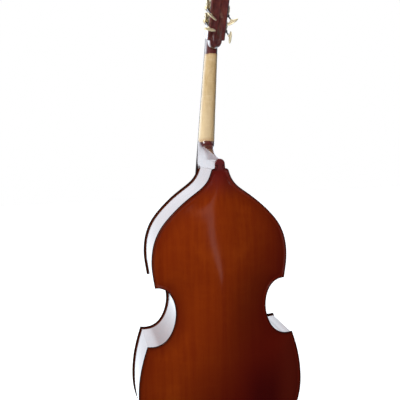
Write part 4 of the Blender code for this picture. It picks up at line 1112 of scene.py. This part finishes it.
def make_worm(string):
    """Worm, its shaft and the leaf-shaped key at its end."""
    side, along, angle = TUNERS[string]
    start = peg_point(along, GEAR_DEPTH, side * WORM_X)
    sides, reach, far = 30, 0.0110, KEY_REACH[string]
    root, tip = WORM_RADIUS - DEDENDUM, WORM_RADIUS + ADDENDUM
    profile = ((-0.24, root), (-0.14, tip - 0.0002), (-0.10, tip), (0.10, tip),
               (0.14, tip - 0.0002), (0.24, root))
    shape = Shape()
    wanted = int(2 * reach / PITCH * sides)
    rings = []
    for k in range(wanted + 1):
        share = k / wanted
        level = -reach + 2 * reach * share
        fade = min(1.0, share * wanted / 8, (1 - share) * wanted / 8)
        turn = 2 * math.pi * k / sides
        way = math.cos(turn) * PEG_A + math.sin(turn) * SIDE
        ring = []
        for place, radius in profile:
            size = root + (radius - root) * fade
            ring.append(start + PEG_B * (level + place * PITCH) + way * size)
        for place in (0.2, 0.0, -0.2):
            ring.append(start + PEG_B * (level + place * PITCH) + way * (root - 0.0012))
        rings.append(ring)
    shape.loft(rings)
    core = ((-0.0155, 0.0024), (-0.0150, 0.0031), (-0.0140, 0.0033), (0.0130, 0.0033),
            (0.0130, 0.0030))
    shape.turned(core, start, PEG_B, PEG_A, 28)
    shape.make("worm_" + string, "brass", "key_" + string, "brass", ("worm_shaft_" + string,))
    stem = ((0.0128, 0.0026), (0.0140, 0.0031), (0.0150, 0.0044), (0.0170, 0.0044),
            (0.0180, 0.0031), (far - 0.0135, 0.0028), (far - 0.0045, 0.0030))
    Shape().turned(stem, start, PEG_B, PEG_A, 28).make("shaft_" + string, "dark_steel",
        "key_" + string, "steel")
    turn = math.radians(angle)
    long_way = math.cos(turn) * SIDE + math.sin(turn) * PEG_A
    thin_way = math.cos(turn) * PEG_A - math.sin(turn) * SIDE
    key = Shape()
    middle = start + PEG_B * (far + KEY_MIDDLE)
    rings = []
    for share in np.sin(np.linspace(-math.pi / 2, math.pi / 2, 33)) * 0.9995:
        tall = KEY_TALL * (1 - abs(share) ** 2.8) ** 0.58
        thick = KEY_THICK * (1 - abs(share) ** 3.0) ** 0.5 + 0.0002
        centre = middle + long_way * KEY_LONG * share
        rings.append([centre + PEG_B * tall * soft(math.cos(t), 0.9)
            + thin_way * thick * soft(math.sin(t), 0.8) for t in around(24)])
    key.loft(rings)
    socket = ((-0.0085, 0.0035), (-0.0080, 0.0042), (-0.0045, 0.0044), (-0.0020, 0.0040),
              (0.0020, 0.0034), (0.0055, 0.0022))
    key.turned(socket, start + PEG_B * far, PEG_B, PEG_A, 28)
    key.make("key_" + string + "_paddle", "key_brass", "key_" + string, "brass", (), 40)


def make_gear(string):
    """Gear wheel with rounded teeth and a hub."""
    side = TUNERS[string][0]
    centre = peg_point(gear_along(string), GEAR_DEPTH, side * WORM_X)
    root, tip = GEAR_RADIUS - DEDENDUM, GEAR_RADIUS + ADDENDUM
    tooth_shape = ((-0.50, root), (-0.30, root + 0.0001), (-0.21, root + 0.0013),
        (-0.14, tip - 0.0002), (-0.08, tip), (0.08, tip), (0.14, tip - 0.0002),
        (0.21, root + 0.0013), (0.30, root + 0.0001))
    step = 2 * math.pi / GEAR_TEETH
    rings = []
    for offset, shrink in ((-GEAR_HALF, 0.0004), (-GEAR_HALF + 0.0004, 0.0), (0.0, 0.0),
            (GEAR_HALF - 0.0004, 0.0), (GEAR_HALF, 0.0004)):
        ring = []
        for tooth in range(GEAR_TEETH):
            for place, radius in tooth_shape:
                angle = (tooth + 0.5 + place) * step + offset * LEAD / GEAR_RADIUS
                way = -math.cos(angle) * PEG_A - math.sin(angle) * SIDE.cross(PEG_A)
                ring.append(centre + SIDE * offset + way * (radius - shrink))
        rings.append(ring)
    hub = ((GEAR_HALF - 0.0002, 0.0072), (GEAR_HALF + 0.0005, 0.0068), (GEAR_HALF + 0.0006, 0.0045),
           (GEAR_HALF - 0.001, 0.0042), (0.0, 0.0042))
    inner = [circle(centre + SIDE * offset * side, radius, PEG_A, PEG_B, 40)
             for offset, radius in hub]
    shape = Shape().loft(rings).loft(inner)
    shape.make("wheel_" + string, "brass", "gear_roller_" + string, "brass", ("gear_" + string,))


def make_roller(string):
    """String roller with the head of the screw that holds its gear."""
    side = TUNERS[string][0]
    centre = peg_point(gear_along(string), GEAR_DEPTH)
    inner, outer = WORM_X - GEAR_HALF - GAP, WORM_X + GEAR_HALF + 0.0008
    profile = ((-CHEEK + 0.0005, 0.0044), (-CHEEK + 0.0009, ROLLER_RADIUS),
               (-CAVITY + 0.0006, ROLLER_RADIUS), (-CAVITY + 0.0010, 0.0047),
               (CAVITY - 0.0010, 0.0047), (CAVITY - 0.0006, ROLLER_RADIUS),
               (PLATE[1] + GAP, ROLLER_RADIUS), (PLATE[1] + GAP, 0.0064),
               (PLATE[1] + 0.0008, 0.0068), (inner - 0.0004, 0.0068), (inner, 0.0064),
               (inner, 0.0040), (outer, 0.0040))
    shape = Shape().turned(profile, centre, SIDE * side, PEG_A, 32)
    add_screw(shape, centre + SIDE * side * (outer + 0.0001), SIDE * side, 0.5)
    shape.make("string_roller_" + string, "steel", "gear_roller_" + string, "steel",
               ("roller_" + string,))


# ---------------------------------------------------------------- strings and their rests

def bridge_crown(x):
    down = (NUT_HEIGHT - BRIDGE_HEIGHT) / NECK_UP.z
    lift = 0.010 + 0.0148 * (1 - (x / 0.0435) ** 2)
    return board_point(down).y - lift / NECK_BACK.y


def front_face(x, z):
    return RIM_FRONT - float(surfaces(np.array([[x, z]]))[0][0])


def make_bridge():
    """Two-footed bridge with a heart and two side eyes."""
    rim = [(0.0, 0.049), (0.013, 0.0495), (0.024, 0.0455), (0.031, 0.032), (0.0375, 0.017),
           (0.0405, 0.0055)]
    foot = [(0.0405, 0.0), (0.053, 0.0), (0.066, 0.0), (0.079, 0.0)]
    outer = [(0.0795, 0.0065), (0.075, 0.0125), (0.067, 0.0185), (0.060, 0.034), (0.0615, 0.049),
             (0.0605, 0.061), (0.052, 0.0695), (0.0425, 0.0735), (0.0405, 0.0785), (0.0435, 0.0845),
             (0.0520, 0.0900), (0.0570, 0.1020), (0.0555, 0.1250), (0.0515, 0.1500)]
    base = 0.0006 - front_face(0.045, BRIDGE_HEIGHT)
    right = [(x, base + k) for x, k in smooth_line(rim, 4)]
    right += [(x, 0.0006 - front_face(x, BRIDGE_HEIGHT)) for x, _ in foot]
    right += [(x, base + k) for x, k in smooth_line(outer, 4)]
    right += [(x, -bridge_crown(x)) for x in np.linspace(0.049, 0.0, 22)]
    outline = both_halves(right, True)
    floor = -front_face(0.0, BRIDGE_HEIGHT)

    def loop(points, mirror=1):
        return [(mirror * x, floor + k) for x, k in points]

    heart = [(0.0, 0.080), (0.0085, 0.090), (0.0120, 0.100), (0.0085, 0.1085),
             (0.0025, 0.1060), (0.0, 0.1030)]
    heart = smooth_line(both_halves(heart, True), 4, True)
    eye = smooth_line([(0.026, 0.099), (0.030, 0.096), (0.0345, 0.101), (0.036, 0.110),
        (0.0325, 0.119), (0.028, 0.1205), (0.0265, 0.114), (0.0290, 0.107)], 4, True)
    holes = [loop(heart), loop(eye), loop(eye, -1)]

    def half_thick(flat):
        return 0.0100 - 0.0076 * np.clip((flat[:, 1] - floor) / 0.18, 0, 1) ** 0.9

    levels = np.arange(0.02, 0.19, 0.009)
    grid = np.array([(x, floor + k) for k in levels for x in np.linspace(-0.08, 0.08, 19)])
    grid = grid[inside(grid, np.array(outline))]
    grid = grid[true_distance(grid, np.array(outline)) > 0.004]
    for hole in holes:
        grid = grid[~inside(grid, np.array(hole))]
        grid = grid[true_distance(grid, np.array(hole)) > 0.003]
    shape = slab(Shape(), [outline, *holes], grid, (lambda flat: -half_thick(flat), half_thick),
                 lambda x, h, w: (x, -h, BRIDGE_HEIGHT + w), 0.0009)
    shape.make("carved_bridge", "bridge", "bass", "bridge_maple", ("bridge",))


def tail_frame():
    bridge = Vector((0, bridge_crown(0.030) - 0.0015, BRIDGE_HEIGHT))
    rest = Vector((0, SADDLE_FRONT - WIRE_RADIUS - GAP, SADDLE_TOP - 0.004))
    down = (rest - bridge).normalized()
    return bridge + down * TAIL_START, down, down.cross(SIDE)


def make_tailpiece():
    """Tailpiece with an arched front, string holes and wire holes."""
    start, down, front = tail_frame()
    rows = smooth_line([(0.0, 0.0420), (0.03, 0.0452), (0.2, 0.0415), (0.35, 0.038), (0.7, 0.029),
        (0.97, 0.0255)], 6)
    rows = [(0.0, 0.0395), (0.0012, 0.0412), *(tuple(row) for row in rows[1:])]
    rows += [(0.988, 0.0248), (0.997, 0.0236), (1.0, 0.0222)]
    rings = []
    for share, half in rows:
        end = 0.0014 if share in (0.0, 1.0) else (0.0004 if share in (0.0012, 0.997) else 0.0)
        centre = start + down * TAIL_LENGTH * share
        right = [(half - 0.004, -TAIL_THICK + end), (half - 0.001, -TAIL_THICK + 0.0016 + end),
                 (half, -TAIL_CROWN - 0.0022), (half, -TAIL_CROWN - 0.0006 - end)]
        right += [(half * s, -TAIL_CROWN * s * s - end) for s in np.linspace(0.98, 0, 12)]
        rings.append([centre + SIDE * x + front * y for x, y in both_halves(right)])
    obj = raw(Shape().loft(rings), "ebony_tailpiece")
    tools = []
    for _, _, at_bridge, _ in STRINGS.values():
        spot = start + down * HOLE_DOWN + SIDE * at_bridge * HOLE_SPREAD
        tools.append(drill(STRING_HOLE, -0.03, 0.03, spot, front, SIDE, 24))
    for side in (-1, 1):
        centre = start + down * (TAIL_LENGTH + 0.005) + SIDE * side * WIRE_X - front * WIRE_DEPTH
        tools.append(drill(WIRE_HOLE, -0.022, 0.01, centre, down, SIDE, 18))
    carve(obj, tools)
    dress(obj, "ebony", "bass", ("tailpiece",), 32)


def make_tail_wire():
    start, down, front = tail_frame()
    first = start + down * (TAIL_LENGTH - 0.012) - front * WIRE_DEPTH
    leave = start + down * (TAIL_LENGTH + 0.010) - front * WIRE_DEPTH
    rest = SADDLE_FRONT - WIRE_RADIUS - 0.0006
    run = smooth_line([(leave.y, leave.z), (rest, SADDLE_TOP - 0.002), (rest, 0.2325),
        (rest + 0.0008, 0.2290), (rest + 0.0035, 0.2268), (rest + 0.008, WIRE_HEIGHT),
        (-0.05, WIRE_HEIGHT), (-0.02, WIRE_HEIGHT), (0.0, WIRE_HEIGHT)], 4)
    left = [Vector((-WIRE_X, y, z)) for y, z in [(first.y, first.z), *run[:-1]]]
    bend = [Vector((-WIRE_X * math.cos(t), WIRE_X * math.sin(t), WIRE_HEIGHT))
            for t in np.linspace(0, math.pi, 25)]
    right = [Vector((-p.x, p.y, p.z)) for p in reversed(left)]
    shape = Shape()
    tube(shape, left + bend + right, WIRE_RADIUS, 14)
    shape.make("tail_cable", "dark_steel", "bass", "steel", ("tail_wire",), 50)


def string_points(string):
    """Line of a string: coils on its roller, then nut, bridge and tailpiece hole."""
    radius, x_nut, x_bridge, x_coil = STRINGS[string]
    orbit = ROLLER_RADIUS + GAP + radius
    hub = peg_point(gear_along(string), GEAR_DEPTH)
    spread = 2 * radius + GAP
    rise = board_crown(NUT_BEND, x_nut) + NUT_LIFT + radius + 0.0002
    nut = board_point(NUT_BEND, rise) + SIDE * x_nut
    outward = 1 if x_coil > 0 else -1
    per_turn, points = 36, []
    for i in range(STRING_TURNS * per_turn + 1):
        angle = 2 * math.pi * (i / per_turn - STRING_TURNS) + 0.25
        way = math.cos(angle) * -PEG_B + math.sin(angle) * -PEG_A
        shift = outward * spread * (STRING_TURNS / 2 - i / per_turn)
        points.append(hub + way * orbit + SIDE * (x_coil + shift))
    leave = points[-1]
    ahead = board_point(0.004, board_crown(0.004, x_nut) + NUT_LIFT + radius) + SIDE * x_nut
    points += [leave.lerp(nut, s) for s in np.linspace(0.1, 0.96, 8)]
    points += [nut, nut.lerp(ahead, 0.6)]
    bed = Vector((x_bridge, bridge_crown(x_bridge) - radius - 0.0004, BRIDGE_HEIGHT))
    points += [points[-1].lerp(bed, s) for s in np.linspace(0.02, 0.998, 50)]
    start, down, front = tail_frame()
    hole = start + down * HOLE_DOWN + SIDE * x_bridge * HOLE_SPREAD
    drop = TAIL_CROWN * (x_bridge * HOLE_SPREAD / 0.0445) ** 2
    entry = hole - down * 0.006 + front * (radius + 0.0006 - drop)
    points += [bed.lerp(entry, s) for s in np.linspace(0.02, 0.97, 12)]
    for back, rise in ((0.006, radius + 0.0006), (0.0030, radius + 0.0005),
            (0.0012, radius + 0.0001), (0.0003, -0.0008), (0.0, -0.003), (0.0, -0.0095)):
        points.append(hole - down * back + front * (rise - drop))
    return points


def make_strings():
    for string, (radius, *_) in STRINGS.items():
        shape = Shape()
        along, total = tube(shape, string_points(string), radius, 12)
        obj = shape.make("wound_string_" + string, "string", "bass", "wound_steel",
            ("string_" + string,), 60)
        along = np.array(along)
        heights = np.array([tuple(p) for p in shape.points])[:, 2]
        silk = (heights > NUT_HEIGHT + SILK_ABOVE_NUT) | (along > total - SILK_AT_TAIL)
        paint(obj, "along", along)
        paint(obj, "silk", silk)


# ---------------------------------------------------------------- endpin

def make_endpin():
    """Saddle, plug, collar, thumb screw, sliding rod and rubber tip."""
    top, low = RIM_FRONT - 0.0010, SADDLE_FRONT
    section = [(top, BODY_BOTTOM + 0.0004), (low + 0.001, BODY_BOTTOM + 0.0004),
               (low, BODY_BOTTOM + 0.0015), (low, SADDLE_TOP - 0.004),
               (low + 0.0008, SADDLE_TOP - 0.0015), (low + 0.0026, SADDLE_TOP - 0.0002),
               (low + 0.005, SADDLE_TOP), (top, SADDLE_TOP)]
    rings = []
    for share in (-1, -0.975, -0.9, -0.6, 0, 0.6, 0.9, 0.975, 1):
        shrink = {1: 0.0025, 0.975: 0.0008}.get(abs(share), 0.0)
        rings.append([Vector((share * 0.027, y, min(z, SADDLE_TOP - shrink))) for y, z in section])
    Shape().loft(rings).make("ebony_saddle", "ebony", "bass", "ebony", ("saddle",), 30)
    rib_face = BODY_BOTTOM + OVERHANG
    bore = ROD_RADIUS + GAP
    base = Vector((0, 0, 0))
    plug = ((0.300, 0.0145), (0.2995, 0.0148), (rib_face - GAP, 0.0150), (rib_face - GAP, 0.0186),
            (0.2333, 0.0190), (0.2300, 0.0190), (0.2295, 0.0185), (0.2295, 0.0145),
            (0.2290, 0.0134), (0.2240, 0.0134), (0.2235, 0.0145), (0.2235, 0.0185),
            (0.2230, 0.0190), (0.2190, 0.0190), (0.2150, 0.0184), (0.2110, 0.0166),
            (0.2075, 0.0148), (0.2052, 0.0143), (0.2050, 0.0138), (0.2050, bore), (0.300, bore))
    Shape().turned(plug, base, UP, SIDE, 56, True).make("turned_plug", "ebony", "bass", "ebony",
        ("endpin_plug",), 30)
    collar = ((0.2047, 0.0121), (0.2043, 0.0125), (0.2010, 0.0125), (0.2006, 0.0121),
              (0.2002, 0.0121), (0.1998, 0.0125), (0.1865, 0.0125), (0.1850, 0.0121),
              (0.1832, 0.0110), (0.1830, 0.0104), (0.1830, bore), (0.2047, bore))
    obj = raw(Shape().turned(collar, base, UP, SIDE, 48, True), "turned_collar")
    screw_base = Vector((0, 0, SCREW_HEIGHT))
    way = Vector((0, 1, 0))
    carve(obj, [drill(0.0028, 0.002, 0.02, screw_base, way, SIDE, 24)])
    dress(obj, "steel", "bass", ("endpin_collar",), 30)
    right = [(0.0, 0.0295), (0.0042, 0.0345), (0.0075, 0.0378), (0.0112, 0.0372), (0.0118, 0.0330),
             (0.0085, 0.0285), (0.0040, 0.0245), (0.0, 0.0238)]
    wing = smooth_line(both_halves(right, True), 5, True)
    shape = Shape()
    slab(shape, [wing], [], flat_lifts(-0.0015, 0.0015),
         lambda x, y, z: screw_base + Vector((x, y, z)), 0.0009)
    thread = [(bore + GAP + 0.0002 + 0.00045 * k, 0.0024 if k % 2 else 0.00205) for k in range(37)]
    shape.turned(thread + [(0.0232, 0.0024), (0.0236, 0.0040), (0.0245, 0.0045), (0.0285, 0.0045),
        (0.0290, 0.0040)], screw_base, way, SIDE, 24)
    shape.make("wing_screw", "steel", "thumb_screw", "steel", ("thumb_screw",))
    rod = ((0.012, 0.0046), (0.0124, ROD_RADIUS), (0.4690, ROD_RADIUS), (0.470, 0.0043))
    Shape().turned(rod, base, UP, SIDE, 36).make("sliding_rod", "steel", "endpin", "steel",
        ("endpin_rod",), 30)
    tip = ((0.0, 0.0070), (0.0006, 0.0083), (0.0020, 0.0098), (0.0042, 0.0109), (0.0060, 0.0110),
           (0.0075, 0.0104), (0.0085, 0.0104), (0.0100, 0.0109), (0.0120, 0.0108), (0.0135, 0.0102),
           (0.0145, 0.0102), (0.0160, 0.0106), (0.0220, 0.0100), (0.0345, 0.0080), (0.0360, 0.0074),
           (0.0360, bore), (0.0117, bore), (0.0117, 0.0001))
    Shape().turned(tip, base, UP, SIDE, 40).make("rubber_foot", "rubber", "endpin", "rubber",
        ("endpin_tip",))


# ---------------------------------------------------------------- stage, light and camera

FRONT_GLOW = Vector((0.12, -0.97, -0.12)).normalized()
WINDOW = Vector((-0.26, -0.80, 0.58)).normalized()
ROSY = (1, 0.92, 0.92)
LIGHTS = (
    ("key", (1.5, 2.0, 2.1), (0.05, 0.0, 1.05), (1.1, 1.3), 72, (1, 0.985, 0.96)),
    ("fill", (-2.6, 1.5, 2.4), (0.0, 0.0, 1.1), (1.2, 1.2), 9),
    ("top", (0.3, -1.2, 3.6), (0.0, 0.0, 1.0), (1.8, 1.8), 18),
    ("strip_low", (-0.43, 3.2, 0.715), (-0.43, 0.1, 0.715), (0.22, 1.25), 0.60, ROSY, 25.5),
    ("strip_high", (0.035, 3.2, 1.515), (0.035, 0.1, 1.515), (0.20, 0.61), 0.26, ROSY, 39.7),
    ("chin_glint", (-0.50, 1.35, 0.30), (0.0, 0.10, 1.82), (0.07, 0.07), 0.02, (1, 1, 1), 0, 26),
    ("glint", (1.15, 2.2, 2.4), (0.0, 0.0, 1.6), (0.12, 0.12), 3.0),
)
CAMERA_LENS, CAMERA_SENSOR = 46.8, 36
CAMERA_PLACE = (0.4966, 1.8791, 1.4908)
CAMERA_TURN = (82.099, 1.033, 166.511)


def area(name, place, target, size, power, colour=(1, 1, 1), roll=0, spread=180):
    """Soft rectangular light that the camera doesn't see. Roll and spread are in degrees."""
    light = bpy.data.lights.new(name, "AREA")
    light.shape = "RECTANGLE"
    light.size, light.size_y = size
    light.energy = power
    light.color = colour
    light.spread = math.radians(spread)
    obj = bpy.data.objects.new(name, light)
    bpy.context.scene.collection.objects.link(obj)
    obj.location = place
    facing = (Vector(target) - Vector(place)).to_track_quat("-Z", "Y").to_matrix()
    obj.rotation_euler = (facing @ Matrix.Rotation(math.radians(roll), 3, "Z")).to_euler()
    obj.visible_camera = False


def make_stage():
    """White floor and a studio that is bright in front of the instrument and dark behind it."""
    mesh = bpy.data.meshes.new("floor")
    size, count = 9.0, 12
    grid = np.linspace(-size, size, count + 1)
    points = [(x, y, 0) for y in grid for x in grid]
    faces = [(r * (count + 1) + c, r * (count + 1) + c + 1, (r + 1) * (count + 1) + c + 1,
              (r + 1) * (count + 1) + c) for r in range(count) for c in range(count)]
    mesh.from_pydata(points, [], faces)
    material, tree, shader = new_material("floor_paint", 0.9, Specular_IOR_Level=0.1)
    tone = noise(tree, place_of(tree, (3, 3, 3)), 1, 3)
    feed(shader, "Base Color", blend(tree, tone, (0.90, 0.90, 0.90), (0.94, 0.94, 0.94)))
    shader.inputs["Emission Color"].default_value = (1, 1, 1, 1)
    shader.inputs["Emission Strength"].default_value = 0.75
    mesh.materials.append(material)
    floor = bpy.data.objects.new("floor", mesh)
    bpy.context.scene.collection.objects.link(floor)
    floor.visible_glossy = False
    floor.visible_diffuse = False

    world = bpy.data.worlds.new("studio")
    world.use_nodes = True
    tree = world.node_tree
    tree.nodes.clear()
    way = add(tree, "TexCoord").outputs["Generated"]
    facing = add(tree, "VectorMath", {0: way, 1: FRONT_GLOW},
                 operation="DOT_PRODUCT").outputs["Value"]
    strength = calc(tree, "ADD", span(tree, facing, 0.30, 0.92, 0.0, 2.1), span(tree, facing, -0.5,
        0.35, 0.03, 0.35))
    window = add(tree, "VectorMath", {0: way, 1: WINDOW}, operation="DOT_PRODUCT")
    strength = calc(tree, "ADD", strength, span(tree, window.outputs["Value"], 0.89,
        0.965, 0.0, 1.4))
    studio = add(tree, "Background", {"Color": (0.84, 0.92, 1.0, 1), "Strength": strength})
    plain = add(tree, "Background", {"Color": (1, 1, 1, 1), "Strength": 1.0})
    seen = add(tree, "LightPath").outputs["Is Camera Ray"]
    mixed = add(tree, "MixShader", {0: seen, 1: studio.outputs[0], 2: plain.outputs[0]})
    output = add(tree, "OutputWorld")
    tree.links.new(mixed.outputs[0], output.inputs["Surface"])
    bpy.context.scene.world = world
    for light in LIGHTS:
        area(*light)


def make_camera():
    camera = bpy.data.cameras.new("camera")
    camera.lens = CAMERA_LENS
    camera.sensor_width = CAMERA_SENSOR
    obj = bpy.data.objects.new("camera", camera)
    bpy.context.scene.collection.objects.link(obj)
    obj.location = CAMERA_PLACE
    obj.rotation_euler = [math.radians(a) for a in CAMERA_TURN]
    bpy.context.scene.camera = obj


def build():
    """Make every piece, then give the kept frame nodes their wood."""
    make_plates()
    make_ribs()
    make_neck()
    make_board()
    for string in TUNERS:
        make_tuner_plate(string)
        make_worm(string)
        make_gear(string)
        make_roller(string)
    make_bridge()
    make_tailpiece()
    make_tail_wire()
    make_strings()
    make_endpin()
    for name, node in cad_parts.items():
        if "block" in name or "lining" in name or name in ("bass_bar", "sound_post"):
            node.data.materials.clear()
            node.data.materials.append(LOOKS["bare"])


make_camera()
make_stage()
bpy.context.scene.view_settings.view_transform = "Standard"
build()
